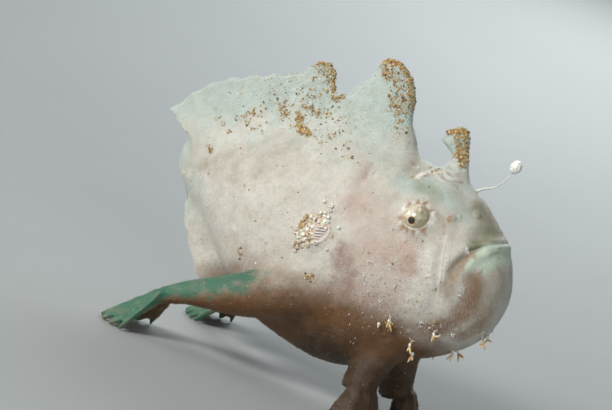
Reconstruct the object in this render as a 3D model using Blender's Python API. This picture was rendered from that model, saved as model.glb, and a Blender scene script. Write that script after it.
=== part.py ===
"""A life-size frogfish, still, standing on its two arms and two feet.

The fish faces +X, its right side faces -Y, and the floor is z = 0. Sizes are in millimetres and are
turned into metres when a mesh is made. The trunk is one lofted body, parted by thin cuts into head,
lower jaw, torso and tail. Fins, spines and limbs grow out of it and stop a small gap from its skin.
"""

import math

import bmesh
import bpy
import numpy as np
from mathutils import Matrix

MM = 0.001
GAP = 0.3  # kept between pieces that touch
DEEP = 60.0  # longer than the fish is wide, for cutters

# The whole fish is moved ahead by this much, so that its box is centred over the origin
CENTRE_X = 1.0

# Trunk sections from tail to chin: x, top, bottom, height of the widest line, half width,
# and how sharply the section narrows above and below that line (1 is an ellipse)
TRUNK = (
    (-51.0, 46.0, 38.0, 42.0, 1.6, 0.9, 0.9),
    (-47.0, 48.6, 35.6, 42.0, 2.8, 0.9, 0.9),
    (-42.0, 49.6, 34.6, 42.0, 3.6, 0.9, 0.9),
    (-36.0, 51.8, 31.3, 41.5, 5.0, 1.2, 1.2),
    (-28.0, 56.0, 24.5, 40.0, 8.0, 1.4, 1.3),
    (-18.0, 60.5, 16.4, 37.0, 11.8, 1.5, 1.1),
    (-8.0, 64.3, 11.6, 34.0, 14.8, 1.5, 0.9),
    (3.0, 66.5, 9.4, 32.5, 16.4, 1.5, 0.85),
    (12.0, 65.6, 8.9, 33.0, 16.7, 1.4, 0.85),
    (20.0, 64.3, 10.6, 35.0, 16.3, 1.3, 0.85),
    (27.0, 65.0, 14.2, 37.5, 15.4, 1.4, 0.85),
    (33.0, 62.5, 18.0, 39.0, 14.5, 1.4, 0.85),
    (39.0, 58.2, 21.8, 39.5, 13.2, 1.2, 0.85),
    (44.0, 53.9, 25.8, 39.5, 11.2, 1.0, 0.85),
    (47.2, 49.8, 29.4, 39.2, 8.6, 0.9, 0.85),
    (49.3, 44.8, 33.0, 38.8, 5.2, 0.9, 0.9),
    (50.3, 39.2, 37.8, 38.5, 0.8, 1.0, 1.0),
)
RINGS_A_SECTION = 2
RING_POINTS = 40

# The tail stock bends to the fish's left, away from the side that the picture shows
BEND_START_X = -34.0
BEND_RADIUS = 11.5
BEND_MOST = math.radians(78.0)

# The eye is a ball in a low mound of skin, with a thick ring of lid round it
EYE_X, EYE_Z = 25.0, 52.0
EYE_RADIUS = 4.0
EYE_SUNK = 1.2  # depth of its centre below the plain skin
MOUND_RADIUS = (6.4, 3.6, 6.4)
LID_RADIUS = 3.5
LID_THICKNESS = 0.7
LID_OUT = 1.8  # how far the lid's ring stands out from the eye's centre

# Side view of the mouth, from in front of the lip to its corner, and of the fold that runs on down
MOUTH_LINE = ((53.0, 58.0), (45.3, 53.8), (38.6, 49.7), (36.9, 46.3), (37.2, 42.0))
JAW_FOLD = ((36.9, 36.0), (37.3, 30.0), (40.0, 12.0))
NECK_CUT = ((10.0, 80.0), (14.0, 45.0), (17.0, 2.0))
TAIL_CUT = ((-33.5, 80.0), (-31.0, 2.0))
LIP_RADIUS = 1.7
LIP_SUNK = 0.7
LIP_END = 0.35  # share of the radius left at the corner, and the share gained at each ring from it
LIP_SWELL = 0.15

# Nostrils: two short pipes a side on the snout, at x and distance from the middle plane
NOSTRILS = ((36.4, 5.4), (31.9, 9.9))
NOSTRIL_RADIUS = 0.65
NOSTRIL_RIM = 0.45
NOSTRIL_OUT = 0.15

# Skin flaps under the chin and cheek: x, height, length
FLAPS = (
    (47.8, 31.0, 2.4),
    (42.0, 25.6, 2.6),
    (39.0, 28.4, 1.8),
    (38.0, 23.0, 2.0),
    (29.6, 26.6, 1.8),
    (26.6, 25.2, 2.2),
    (22.6, 22.6, 1.6),
    (17.5, 18.0, 1.8),
)
FLAP_RADIUS = 0.75
FLAP_ROOT = 1.2

# A raised crust on the right flank, longer than wide, that leans ahead
CRUST_AT = (3.2, 39.5)
CRUST_RADIUS = (3.8, 6.2, 0.8)
CRUST_LEAN = math.radians(30.0)

# Gill opening: a round pit low behind each arm
GILL_AT = (-9.0, 17.5)
GILL_RADIUS = (2.4, 2.0, 1.5)

SKIN = (0.86, 0.80, 0.76)
FIN = (0.82, 0.82, 0.78)
EYE = (0.75, 0.72, 0.55)
LURE = (0.93, 0.92, 0.88)


def material(name, colour, roughness):
    made = bpy.data.materials.get(name) or bpy.data.materials.new(name)
    made.use_nodes = True
    shader = made.node_tree.nodes["Principled BSDF"]
    shader.inputs["Base Color"].default_value = (*colour, 1.0)
    shader.inputs["Roughness"].default_value = roughness
    shader.inputs["Metallic"].default_value = 0.0
    return made


def mesh_object(name, points, faces, look=None):
    """A mesh object from points in millimetres, with its faces turned outwards."""
    mesh = bpy.data.meshes.new(name)
    mesh.from_pydata([tuple(np.asarray(p) * MM) for p in points], [], faces)
    editable = bmesh.new()
    editable.from_mesh(mesh)
    bmesh.ops.triangulate(editable, faces=editable.faces)
    bmesh.ops.recalc_face_normals(editable, faces=editable.faces)
    editable.to_mesh(mesh)
    editable.free()
    mesh.shade_smooth()
    made = bpy.data.objects.new(name, mesh)
    bpy.context.scene.collection.objects.link(made)
    if look:
        mesh.materials.append(look)
    return made


def smooth_rows(rows, steps):
    """Rows of a table with steps - 1 more between each two, on a curve through them all."""
    rows = np.array(rows, float)
    padded = np.vstack([2 * rows[0] - rows[1], rows, 2 * rows[-1] - rows[-2]])
    made = []
    for a, b, c, d in zip(padded, padded[1:], padded[2:], padded[3:]):
        for t in np.arange(steps) / steps:
            made.append(
                b + 0.5 * t * (c - a + t * (2 * a - 5 * b + 4 * c - d + t * (3 * (b - c) + d - a)))
            )
    made.append(rows[-1])
    return np.array(made)


def stacked_rings(rings):
    """Faces that join rings of points one after another, closed by a fan of faces at each end."""
    count = len(rings[0])
    points = [p for ring in rings for p in ring]
    faces = []
    for i in range(len(rings) - 1):
        for j in range(count):
            k = (j + 1) % count
            faces.append((i * count + j, i * count + k, (i + 1) * count + k, (i + 1) * count + j))
    for ring, first in ((rings[0], 0), (rings[-1], (len(rings) - 1) * count)):
        points.append(np.mean(ring, axis=0))
        faces += [(first + j, first + (j + 1) % count, len(points) - 1) for j in range(count)]
    return points, faces


def bent(p):
    """Where a point of the straight tail lies once the tail stock is bent to the left."""
    x, y, z = p
    past = BEND_START_X - x
    if past <= 0:
        return p
    angle = min(past / BEND_RADIUS, BEND_MOST)
    straight = past - angle * BEND_RADIUS
    reach = BEND_RADIUS - y
    return np.array(
        (
            BEND_START_X - reach * math.sin(angle) - straight * math.cos(angle),
            BEND_RADIUS - reach * math.cos(angle) + straight * math.sin(angle),
            z,
        )
    )


def ring(row):
    """One section of the trunk, as a closed loop of points."""
    x, top, bottom, middle, half, sharp_up, sharp_down = row
    made = []
    for j in range(RING_POINTS):
        angle = 2 * math.pi * j / RING_POINTS
        c, s = math.cos(angle), math.sin(angle)
        sharp, reach = (sharp_up, top - middle) if s > 0 else (sharp_down, middle - bottom)
        made.append(np.array((x, half * math.copysign(abs(c) ** sharp, c), middle + reach * s)))
    return made


def trunk_rings():
    return [ring(row) for row in smooth_rows(TRUNK, RINGS_A_SECTION)]


def skin_point(x, z, side=1):
    """The point of the skin at x and height z on the right side, or on the left for side -1."""
    table = smooth_rows(TRUNK, 8)
    top, bottom, middle, half, sharp_up, sharp_down = (
        np.interp(x, table[:, 0], table[:, k]) for k in range(1, 7)
    )
    above = z > middle
    sharp, reach = (sharp_up, top - middle) if above else (sharp_down, middle - bottom)
    share = min(abs(z - middle) / reach, 1.0)
    return bent(np.array((x, -side * half * (1 - share * share) ** (sharp / 2), z)))


def skin_normal(x, z, side=1, step=0.4):
    """The direction that points straight out of the skin there."""
    forward = skin_point(x + step, z, side) - skin_point(x - step, z, side)
    up = skin_point(x, z + step, side) - skin_point(x, z - step, side)
    normal = np.cross(forward, up) * side
    return normal / np.linalg.norm(normal)


def trunk(name, look=None):
    rings = [[bent(p) for p in loop] for loop in trunk_rings()]
    return mesh_object(name, *stacked_rings(rings), look)


def grown(obj, name, by):
    """A copy of an object with each point moved out along its normal."""
    made = bpy.data.objects.new(name, obj.data.copy())
    bpy.context.scene.collection.objects.link(made)
    normals = [v.normal.copy() for v in made.data.vertices]
    for vertex, normal in zip(made.data.vertices, normals):
        vertex.co += normal * by * MM
    return helper(made)


def helper(obj):
    obj.hide_render = True
    obj.display_type = "WIRE"
    return obj


def is_closed(mesh):
    editable = bmesh.new()
    editable.from_mesh(mesh)
    closed = len(editable.faces) > 0 and all(e.is_manifold for e in editable.edges)
    editable.free()
    return closed


def cut(obj, other):
    """Cuts an object by another, with the MANIFOLD solver where the EXACT one leaves an open mesh."""
    modifier = obj.modifiers.new("cut", "BOOLEAN")
    modifier.object = other
    modifier.operation = "DIFFERENCE"
    for solver in ("EXACT", "MANIFOLD"):
        modifier.solver = solver
        graph = bpy.context.evaluated_depsgraph_get()
        mesh = bpy.data.meshes.new_from_object(obj.evaluated_get(graph))
        if is_closed(mesh):
            break
    obj.modifiers.clear()
    old, obj.data = obj.data, mesh
    bpy.data.meshes.remove(old)
    return obj


def closed_pieces(obj):
    """The separate closed surfaces of an object, as lists of faces, the largest first."""
    editable = bmesh.new()
    editable.from_mesh(obj.data)
    editable.faces.ensure_lookup_table()
    seen, pieces = set(), []
    for face in editable.faces:
        if face.index in seen:
            continue
        stack, piece = [face], []
        seen.add(face.index)
        while stack:
            current = stack.pop()
            piece.append(current.index)
            for edge in current.edges:
                for linked in edge.link_faces:
                    if linked.index not in seen:
                        seen.add(linked.index)
                        stack.append(linked)
        pieces.append(piece)
    pieces.sort(key=lambda piece: sum(editable.faces[i].calc_area() for i in piece), reverse=True)
    editable.free()
    return pieces


# Faces that meet at less than this angle are one flat face, so a join leaves no slivers
FLAT_ANGLE = math.radians(0.4)


def keep_only(obj, piece):
    """Leaves the faces of one closed surface."""
    kept = set(piece)
    editable = bmesh.new()
    editable.from_mesh(obj.data)
    gone = [f for f in editable.faces if f.index not in kept]
    bmesh.ops.delete(editable, geom=gone, context="FACES")
    loose = [v for v in editable.verts if not v.link_faces]
    bmesh.ops.delete(editable, geom=loose, context="VERTS")
    bmesh.ops.dissolve_limit(
        editable, angle_limit=FLAT_ANGLE, verts=editable.verts, edges=editable.edges
    )
    bmesh.ops.triangulate(editable, faces=editable.faces)
    editable.to_mesh(obj.data)
    editable.free()
    return obj


def keep_largest(obj):
    return keep_only(obj, closed_pieces(obj)[0])


def joined(obj, extras):
    """Fuses closed shapes with an object by one union, and removes them."""
    group = bpy.data.collections.new("fused")
    for extra in extras:
        group.objects.link(extra)
    modifier = obj.modifiers.new("join", "BOOLEAN")
    modifier.operand_type = "COLLECTION"
    modifier.collection = group
    modifier.operation = "UNION"
    modifier.solver = "EXACT"
    graph = bpy.context.evaluated_depsgraph_get()
    mesh = bpy.data.meshes.new_from_object(obj.evaluated_get(graph))
    obj.modifiers.clear()
    obj.data = mesh
    for extra in extras:
        bpy.data.objects.remove(extra)
    bpy.data.collections.remove(group)
    return keep_largest(obj)


def turned(direction):
    """Three axes, as columns, whose last one points along a direction."""
    third = np.asarray(direction, float) / np.linalg.norm(direction)
    first = np.cross((0.0, 0.0, 1.0) if abs(third[2]) < 0.9 else (1.0, 0.0, 0.0), third)
    first /= np.linalg.norm(first)
    return np.stack([first, np.cross(third, first), third], axis=1)


def ball(name, centre, radii, look=None, axes=np.eye(3), across=16, down=10):
    """An ellipsoid of rings, its radii along the given axes."""
    rings = []
    for i in range(1, down):
        polar = math.pi * i / down
        loop = [
            (math.sin(polar) * math.cos(a), math.sin(polar) * math.sin(a), math.cos(polar))
            for a in (2 * math.pi * j / across for j in range(across))
        ]
        rings.append([np.asarray(centre) + axes @ (np.array(p) * radii) for p in loop])
    points, faces = stacked_rings(rings)
    points[-2] = np.asarray(centre) + axes @ np.array((0, 0, radii[2]))
    points[-1] = np.asarray(centre) - axes @ np.array((0, 0, radii[2]))
    return mesh_object(name, points, faces, look)


def hoop(name, centre, direction, radius, thickness, around, sides):
    """A ring of round section that lies square to a direction."""
    axes = turned(direction)
    points, faces = [], []
    for i in range(around):
        a = 2 * math.pi * i / around
        out = axes @ np.array((math.cos(a), math.sin(a), 0))
        for j in range(sides):
            b = 2 * math.pi * j / sides
            reach = radius + thickness * math.cos(b)
            points.append(centre + out * reach + axes[:, 2] * thickness * math.sin(b))
            k, m = (i + 1) % around, (j + 1) % sides
            faces.append((i * sides + j, i * sides + m, k * sides + m, k * sides + j))
    return mesh_object(name, points, faces)


def blade(name, line, thickness=GAP):
    """A thin solid along a line of the side view, running right across the fish."""
    line = np.array(line)
    ahead = np.gradient(line, axis=0)
    across = np.stack([-ahead[:, 1], ahead[:, 0]], axis=1)
    across *= thickness / 2 / np.linalg.norm(across, axis=1)[:, None]
    outline = np.vstack([line + across, (line - across)[::-1]])
    rings = [[np.array((x, side, z)) for x, z in outline] for side in (-DEEP, DEEP)]
    points = rings[0] + rings[1]
    count = len(outline)
    faces = [(j, (j + 1) % count, count + (j + 1) % count, count + j) for j in range(count)]
    for start in (0, count):
        for j in range(count // 2 - 1):
            faces.append((start + j, start + j + 1, start + count - 2 - j, start + count - 1 - j))
    return helper(mesh_object(name, points, faces))


def centre_of(obj):
    return np.mean([v.co for v in obj.data.vertices], axis=0) / MM


def lips():
    """A rounded ridge along the mouth, across the front and back to both corners."""
    line = smooth_rows(MOUTH_LINE[1:], 4)
    path = []
    for side in (1, -1):
        half = []
        for i, (x, z) in enumerate(line):
            middle = (skin_point(x, z) - LIP_SUNK * skin_normal(x, z)) * (1, side, 1)
            thinned = min(1.0, LIP_END + LIP_SWELL * (len(line) - i))
            half.append((*middle, LIP_RADIUS * thinned))
        path.append(half)
    rows = path[0][:0:-1] + path[1][1:]
    return tube("lips", rows, None, sides=8, steps=1, up=(1.0, 0.0, 0.3))


def flap(x, z, length, side):
    """A soft tapered tag of skin that hangs a little from where it grows."""
    normal = skin_normal(x, z, side) + np.array((0, 0, -0.6))
    normal /= np.linalg.norm(normal)
    root = skin_point(x, z, side) - normal * FLAP_ROOT
    shape = ((0, 1.0), (0.6, 0.85), (1.0, 0.35))
    rows = [(*(root + normal * (FLAP_ROOT + length) * t), FLAP_RADIUS * wide) for t, wide in shape]
    return tube("flap", rows, None, sides=5, steps=1, up=(1.0, 0.2, 0.1))


def crust():
    """A shallow oval lump on the right flank."""
    across, up, out = turned(skin_normal(*CRUST_AT)).T
    width = math.cos(CRUST_LEAN) * across - math.sin(CRUST_LEAN) * up
    length = math.sin(CRUST_LEAN) * across + math.cos(CRUST_LEAN) * up
    axes = np.stack([width, length, out], axis=1)
    return ball("crust", skin_point(*CRUST_AT), CRUST_RADIUS, axes=axes, across=14, down=8)


def skin_forms():
    """Lids, lips, nostrils, skin flaps and the crust, each rooted in the trunk."""
    forms = [lips(), crust()]
    for side in (1, -1):
        out = skin_normal(EYE_X, EYE_Z, side)
        eye = eye_centre(side)
        mound_axes = turned(out)[:, [0, 2, 1]]
        forms.append(ball("mound", eye - out, MOUND_RADIUS, axes=mound_axes, across=16, down=10))
        forms.append(hoop("lid", eye + out * LID_OUT, out, LID_RADIUS, LID_THICKNESS, 15, 6))
        for x, y in NOSTRILS:
            z = nostril_height(x, y)
            normal = skin_normal(x, z, side)
            rim = skin_point(x, z, side) + normal * NOSTRIL_OUT
            forms.append(hoop("nostril", rim, normal, NOSTRIL_RADIUS, NOSTRIL_RIM, 8, 5))
        for x, z, length in FLAPS:
            forms.append(flap(x, z, length, side))
    return forms


def part_trunk(look):
    """Cuts the trunk into named pieces with thin blades and returns them."""
    whole = joined(trunk("trunk_whole", look), skin_forms())
    for side in (1, -1):
        socket = ball("socket", eye_centre(side), [EYE_RADIUS + GAP] * 3, across=14, down=9)
        cut(whole, helper(socket))
        pit = ball("pit", skin_point(*GILL_AT, side), GILL_RADIUS, across=12, down=8)
        cut(whole, helper(pit))
    cut(whole, blade("jaw_blade", MOUTH_LINE + JAW_FOLD))
    cut(whole, blade("neck_blade", NECK_CUT))
    cut(whole, blade("tail_blade", TAIL_CUT))
    pieces = closed_pieces(whole)
    parted = []
    for piece in pieces[:4]:
        made = bpy.data.objects.new("piece", whole.data.copy())
        bpy.context.scene.collection.objects.link(made)
        parted.append(keep_only(made, piece))
    bpy.data.objects.remove(whole)
    parted.sort(key=lambda obj: centre_of(obj)[0])
    for obj, name in zip(parted, ("tail", "torso", "head", "lower_jaw")):
        obj.name = name
        obj.data.name = name
    return parted


def eye_centre(side):
    """The middle of the eyeball."""
    return skin_point(EYE_X, EYE_Z, side) - EYE_SUNK * skin_normal(EYE_X, EYE_Z, side)


def nostril_height(x, y):
    """The height at which the skin is y from the middle plane, found from the snout's top down."""
    return next(z for z in np.arange(66.0, 42.0, -0.1) if abs(skin_point(x, z)[1]) >= y)


def upright(name, rows, look, steps=3, points=20, sharp=1.0):
    """A spine or crest: rows of height, rear x, front x and half thickness, from the root up."""
    rings = []
    for z, rear, front, half in smooth_rows(rows, steps):
        centre, reach = (rear + front) / 2, (front - rear) / 2
        rings.append(
            [
                np.array(
                    (
                        centre + reach * math.cos(a),
                        half * math.copysign(abs(math.sin(a)) ** sharp, math.sin(a)),
                        z,
                    )
                )
                for a in (2 * math.pi * j / points for j in range(points))
            ]
        )
    return mesh_object(name, *stacked_rings(rings), look)


def along(rows, share):
    """The point at a share of the way along a smooth line through rows."""
    line = smooth_rows(rows, 8)
    at = share * (len(line) - 1)
    i = min(int(at), len(line) - 2)
    return line[i] + (at - i) * (line[i + 1] - line[i])


# A fin's flesh thins out from its root by this power of the way left to the rim
FLARE = 2.2


def fan(name, root, rim, rays, look, flesh, ridge, scallop, rows):
    """A fin between a root line and a rim line, its rays raised on both faces of the membrane.

    flesh is its thickness at the root and at the rim, ridge how high a ray stands at the root, and
    scallop how far the rim draws in between rays. The tail fin turns with the bend of the tail stock.
    """
    columns = rays * 4 - 3
    mids = np.zeros((columns, rows + 1, 3))
    half = np.zeros((columns, rows + 1))
    for i in range(columns):
        share = i / (columns - 1)
        on_ray = 0.5 + 0.5 * math.cos(2 * math.pi * share * (rays - 1))
        start, end = along(root, share), along(rim, share)
        for j in range(rows + 1):
            v = j / rows * (1 - scallop * (1 - on_ray))
            p = start + (end - start) * v
            mids[i, j] = bent(p) if name == "caudal_fin" else p
            thickness = flesh[1] + (flesh[0] - flesh[1]) * (1 - v) ** FLARE
            half[i, j] = thickness / 2 + ridge * on_ray * min(1.0, 1.25 - v)
    du = np.gradient(mids, axis=0)
    dv = np.gradient(mids, axis=1)
    normals = np.cross(du, dv)
    normals /= np.linalg.norm(normals, axis=2)[:, :, None]
    left = mids + normals * half[:, :, None]
    right = mids - normals * half[:, :, None]
    points = [*left.reshape(-1, 3), *right.reshape(-1, 3)]
    count = columns * (rows + 1)
    index = np.arange(count).reshape(columns, rows + 1)
    faces = []
    for i in range(columns - 1):
        for j in range(rows):
            a, b = int(index[i, j]), int(index[i + 1, j])
            c, d = b + 1, a + 1
            faces += [(a, b, c), (a, c, d)]
            faces += [(c + count, b + count, a + count), (d + count, c + count, a + count)]
    edge = [*index[:, 0], *index[-1, 1:], *index[-2::-1, -1], *index[0, -2:0:-1]]
    edge = [int(i) for i in edge]
    for a, b in zip(edge, edge[1:] + edge[:1]):
        faces += [(a, b + count, b), (a, a + count, b + count)]
    return mesh_object(name, points, faces, look)


def tube(name, rows, look, sides=16, steps=3, flat=1.0, up=(0.0, 0.0, 1.0)):
    """A limb: rows of x, y, z and radius along its middle line, flattened across its up direction."""
    line = smooth_rows(rows, steps)
    ahead = np.gradient(line[:, :3], axis=0)
    rings = []
    for row, forward in zip(line, ahead):
        forward = forward / np.linalg.norm(forward)
        across = np.cross(forward, up)
        across /= np.linalg.norm(across)
        raised = np.cross(across, forward)
        rings.append(
            [
                row[:3] + row[3] * (math.cos(a) * across + flat * math.sin(a) * raised)
                for a in (2 * math.pi * j / sides for j in range(sides))
            ]
        )
    return mesh_object(name, *stacked_rings(rings), look)


def mirrored(rows, side):
    """Rows with their y given for the fish's right side, or turned over for its left."""
    rows = np.array(rows, float)
    rows[:, 1] *= -side
    return rows


def flat_footed(obj):
    """Cuts away what lies below the floor and closes the cut with a flat face."""
    editable = bmesh.new()
    editable.from_mesh(obj.data)
    everything = editable.verts[:] + editable.edges[:] + editable.faces[:]
    bmesh.ops.bisect_plane(
        editable, geom=everything, plane_co=(0, 0, 0), plane_no=(0, 0, 1), clear_inner=True, dist=1e-7
    )
    rim = [e for e in editable.edges if e.is_boundary]
    bmesh.ops.holes_fill(editable, edges=rim)
    bmesh.ops.triangulate(editable, faces=editable.faces)
    bmesh.ops.recalc_face_normals(editable, faces=editable.faces)
    editable.to_mesh(obj.data)
    editable.free()
    return obj


for old in list(bpy.data.objects):
    bpy.data.objects.remove(old)

skin = material("skin", SKIN, 0.6)
fin_skin = material("fin", FIN, 0.6)
eye_look = material("eye", EYE, 0.2)
lure_look = material("lure", LURE, 0.6)

trunk_cutter = grown(trunk("trunk_copy"), "trunk_cutter", GAP)
bpy.data.objects.remove(bpy.data.objects["trunk_copy"])
tail, torso, head, lower_jaw = part_trunk(skin)

# Third dorsal spine: a thick, skin-covered fin that leans back from behind the eyes
THIRD_SPINE = (
    (56.0, -10.6, 15.0, 4.6),
    (62.0, -10.6, 16.4, 4.4),
    (65.5, -10.6, 15.4, 4.0),
    (68.8, -10.6, 13.0, 3.5),
    (71.3, -10.4, 11.2, 3.0),
    (72.4, -7.8, 10.6, 2.8),
    (74.0, -6.4, 10.2, 2.6),
    (76.2, -5.2, 9.7, 2.3),
    (79.0, -3.2, 8.6, 1.9),
    (82.0, -2.7, 6.2, 1.5),
    (84.2, -1.0, 2.6, 0.6),
)
third_spine = upright("third_spine", THIRD_SPINE, skin, steps=2, points=24, sharp=0.75)

# Second dorsal spine: a stalk over the eyes with a ragged club of skin at its tip
SECOND_SPINE = (
    (59.5, 19.5, 32.0, 3.2),
    (64.0, 21.5, 30.6, 2.3),
    (67.5, 23.8, 28.3, 1.6),
    (69.2, 22.6, 27.6, 1.3),
    (71.0, 19.8, 26.7, 1.4),
    (73.6, 20.4, 25.8, 1.4),
    (75.4, 22.6, 24.6, 0.6),
)
second_spine = upright("second_spine", SECOND_SPINE, skin, steps=2, points=16)

# Soft dorsal fin: twelve rays from the back to a free lobe behind
DORSAL_ROOT = ((-11.1, 0, 58.0), (-20.0, 0, 55.0), (-30.0, 0, 50.0), (-40.0, 0, 44.0))
DORSAL_RIM = (
    (-11.3, 0, 72.6),
    (-14.0, 0, 77.3),
    (-17.8, 0, 77.0),
    (-22.0, 0, 72.8),
    (-29.5, 0, 69.2),
    (-38.0, 0, 65.0),
    (-45.5, 0, 60.0),
    (-52.3, 0, 50.8),
)
dorsal_fin = fan("dorsal_fin", DORSAL_ROOT, DORSAL_RIM, 12, skin, (7.0, 0.6), 0.36, 0.03, 6)

# Anal fin: seven rays from the underside of the tail stock
ANAL_ROOT = ((-37.0, 0, 40.0), (-30.0, 0, 32.0), (-22.0, 0, 24.0), (-13.0, 0, 20.0))
ANAL_RIM = ((-39.4, 0, 35.0), (-38.0, 0, 28.0), (-33.0, 0, 20.0), (-26.0, 0, 13.0), (-17.5, 0, 9.0))
anal_fin = fan("anal_fin", ANAL_ROOT, ANAL_RIM, 7, skin, (7.0, 0.7), 0.36, 0.04, 5)

# Tail fin: nine rays that fan out past the bend of the tail stock
CAUDAL_ROOT = ((-46.0, 0, 46.4), (-47.0, 0, 42.0), (-46.0, 0, 37.6))
CAUDAL_RIM = (
    (-66.0, 0, 56.0),
    (-73.0, 0, 49.0),
    (-74.5, 0, 41.0),
    (-72.0, 0, 33.0),
    (-64.0, 0, 27.5),
)
caudal_fin = fan("caudal_fin", CAUDAL_ROOT, CAUDAL_RIM, 9, fin_skin, (3.6, 0.6), 0.24, 0.06, 5)

for obj in (third_spine, second_spine, dorsal_fin, anal_fin, caudal_fin):
    keep_largest(cut(obj, trunk_cutter))

# Lure: a thin rod from the snout, with a pale bait at its end
ROD = (
    (31.0, 0, 60.8, 0.42),
    (33.6, 0, 63.3, 0.38),
    (36.4, 0, 65.0, 0.32),
    (38.2, 0, 67.4, 0.28),
    (39.0, 0, 69.4, 0.28),
)
BAIT_AT = (39.4, 0.0, 71.5)
BAIT_RADIUS = (1.45, 1.3, 1.8)
rod = tube("lure_rod", ROD, fin_skin, sides=8, steps=2, up=(0, 1, 0))
keep_largest(cut(rod, trunk_cutter))
ball("lure_bait", BAIT_AT, BAIT_RADIUS, lure_look, across=12, down=8)

for side, which in ((1, "right"), (-1, "left")):
    axes = turned(skin_normal(EYE_X, EYE_Z, side))
    ball(f"eye_{which}", eye_centre(side), [EYE_RADIUS] * 3, eye_look, axes=axes)

# Arms reach back from the flanks to a wrist, with nine rays spread on the floor
ARM = (
    (11.0, 6.0, 27.5, 8.6),
    (3.0, 11.6, 23.6, 8.2),
    (-6.0, 17.0, 18.6, 6.2),
    (-14.0, 20.0, 15.3, 4.3),
    (-20.0, 21.3, 12.8, 3.0),
    (-24.5, 22.3, 10.0, 2.3),
)
HAND_ROOT = ((-22.0, 20.8, 11.0), (-23.0, 22.2, 12.0), (-22.6, 23.8, 11.2))
HAND_RIM = (
    (-29.0, 12.5, 0.3),
    (-34.5, 17.5, 0.3),
    (-36.5, 24.0, 0.3),
    (-33.5, 30.5, 0.3),
    (-27.0, 33.0, 0.3),
)
HAND_RAYS = 9

# Feet stand close together under the throat, one a little ahead, with five rays spread on the floor
LEG = (
    (28.5, 4.0, 23.0, 5.8),
    (27.5, 6.0, 16.0, 5.0),
    (27.2, 7.6, 10.5, 4.4),
    (27.6, 8.4, 7.0, 3.8),
)
STRIDE = {1: -2.0, -1: 5.0}
LEG_TOP = 23.0
FOOT_ROOT_RADIUS = 2.8
FOOT_ROOT_Z = 8.6
FOOT_RIM_RADIUS = 9.0
FOOT_RIM_Z = 0.2
FOOT_SPREAD = (math.radians(-50.0), math.radians(105.0))
FOOT_RAYS = 5


def stepped(rows, side):
    """Leg rows for one side, moved ahead or back by more towards the floor."""
    rows = mirrored(rows, side)
    rows[:, 0] += STRIDE[side] * (1 - rows[:, 2] / LEG_TOP)
    return rows


def arc(centre, radius, height, side, count=5):
    """Points round a foot from inward-forward to backward, at one height."""
    x, y = centre[:2]
    angles = np.linspace(*FOOT_SPREAD, count)
    return [(x + radius * math.cos(a), y - side * radius * math.sin(a), height) for a in angles]


for side, which in ((1, "right"), (-1, "left")):
    arm = tube(f"pectoral_arm_{which}", mirrored(ARM, side), skin, sides=20, flat=0.9)
    arm_cutter = grown(arm, f"arm_cutter_{which}", GAP)
    keep_largest(cut(arm, trunk_cutter))
    hand_root, hand_rim = mirrored(HAND_ROOT, side), mirrored(HAND_RIM, side)
    hand_name = f"pectoral_hand_{which}"
    hand = fan(hand_name, hand_root, hand_rim, HAND_RAYS, fin_skin, (3.4, 0.9), 0.26, 0.14, 4)
    keep_largest(cut(hand, arm_cutter))
    flat_footed(hand)
    leg_rows = stepped(LEG, side)
    leg = tube(f"pelvic_leg_{which}", leg_rows, skin, sides=14, up=(1, 0, 0))
    leg_cutter = grown(leg, f"leg_cutter_{which}", GAP)
    keep_largest(cut(leg, trunk_cutter))
    ankle = leg_rows[-1]
    foot_root = arc(ankle, FOOT_ROOT_RADIUS, FOOT_ROOT_Z, side)
    foot_rim = arc(ankle, FOOT_RIM_RADIUS, FOOT_RIM_Z, side)
    foot_name = f"pelvic_foot_{which}"
    foot = fan(foot_name, foot_root, foot_rim, FOOT_RAYS, fin_skin, (3.4, 1.0), 0.34, 0.2, 4)
    keep_largest(cut(foot, leg_cutter))
    flat_footed(foot)

for obj in bpy.data.objects:
    if not obj.hide_render:
        obj.data.transform(Matrix.Translation((CENTRE_X * MM, 0.0, 0.0)))
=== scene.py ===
"""The looks of a life-size frogfish that stands still on its two arms and two feet.

The fish faces +X, its right side faces -Y, and the floor is z = 0. Sizes are in millimetres and are
turned into metres when a mesh is made.
"""

import math

import bmesh
import bpy
import numpy as np
from mathutils import Matrix, Vector, noise
from mathutils.bvhtree import BVHTree


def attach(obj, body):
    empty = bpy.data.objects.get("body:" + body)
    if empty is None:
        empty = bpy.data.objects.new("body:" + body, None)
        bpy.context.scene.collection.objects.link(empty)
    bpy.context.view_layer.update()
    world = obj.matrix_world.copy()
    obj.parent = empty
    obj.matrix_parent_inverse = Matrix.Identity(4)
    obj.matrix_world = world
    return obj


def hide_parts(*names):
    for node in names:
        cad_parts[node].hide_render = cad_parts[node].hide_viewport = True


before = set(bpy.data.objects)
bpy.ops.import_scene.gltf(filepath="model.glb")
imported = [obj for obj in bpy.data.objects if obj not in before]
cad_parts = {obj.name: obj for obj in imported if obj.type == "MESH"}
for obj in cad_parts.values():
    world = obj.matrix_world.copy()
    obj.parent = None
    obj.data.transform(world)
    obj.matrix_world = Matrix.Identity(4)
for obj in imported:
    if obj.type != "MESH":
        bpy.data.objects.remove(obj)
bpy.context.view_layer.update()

# The trunk is one deep barrel of muscle in loose skin, widest low on the flanks. It is lofted through
# sections from tail to chin, and its tail stock bends to the fish's left.
MM = 0.001
AHEAD = 1.0  # the whole fish lies this far ahead, so that its box is centred over the origin

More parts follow.
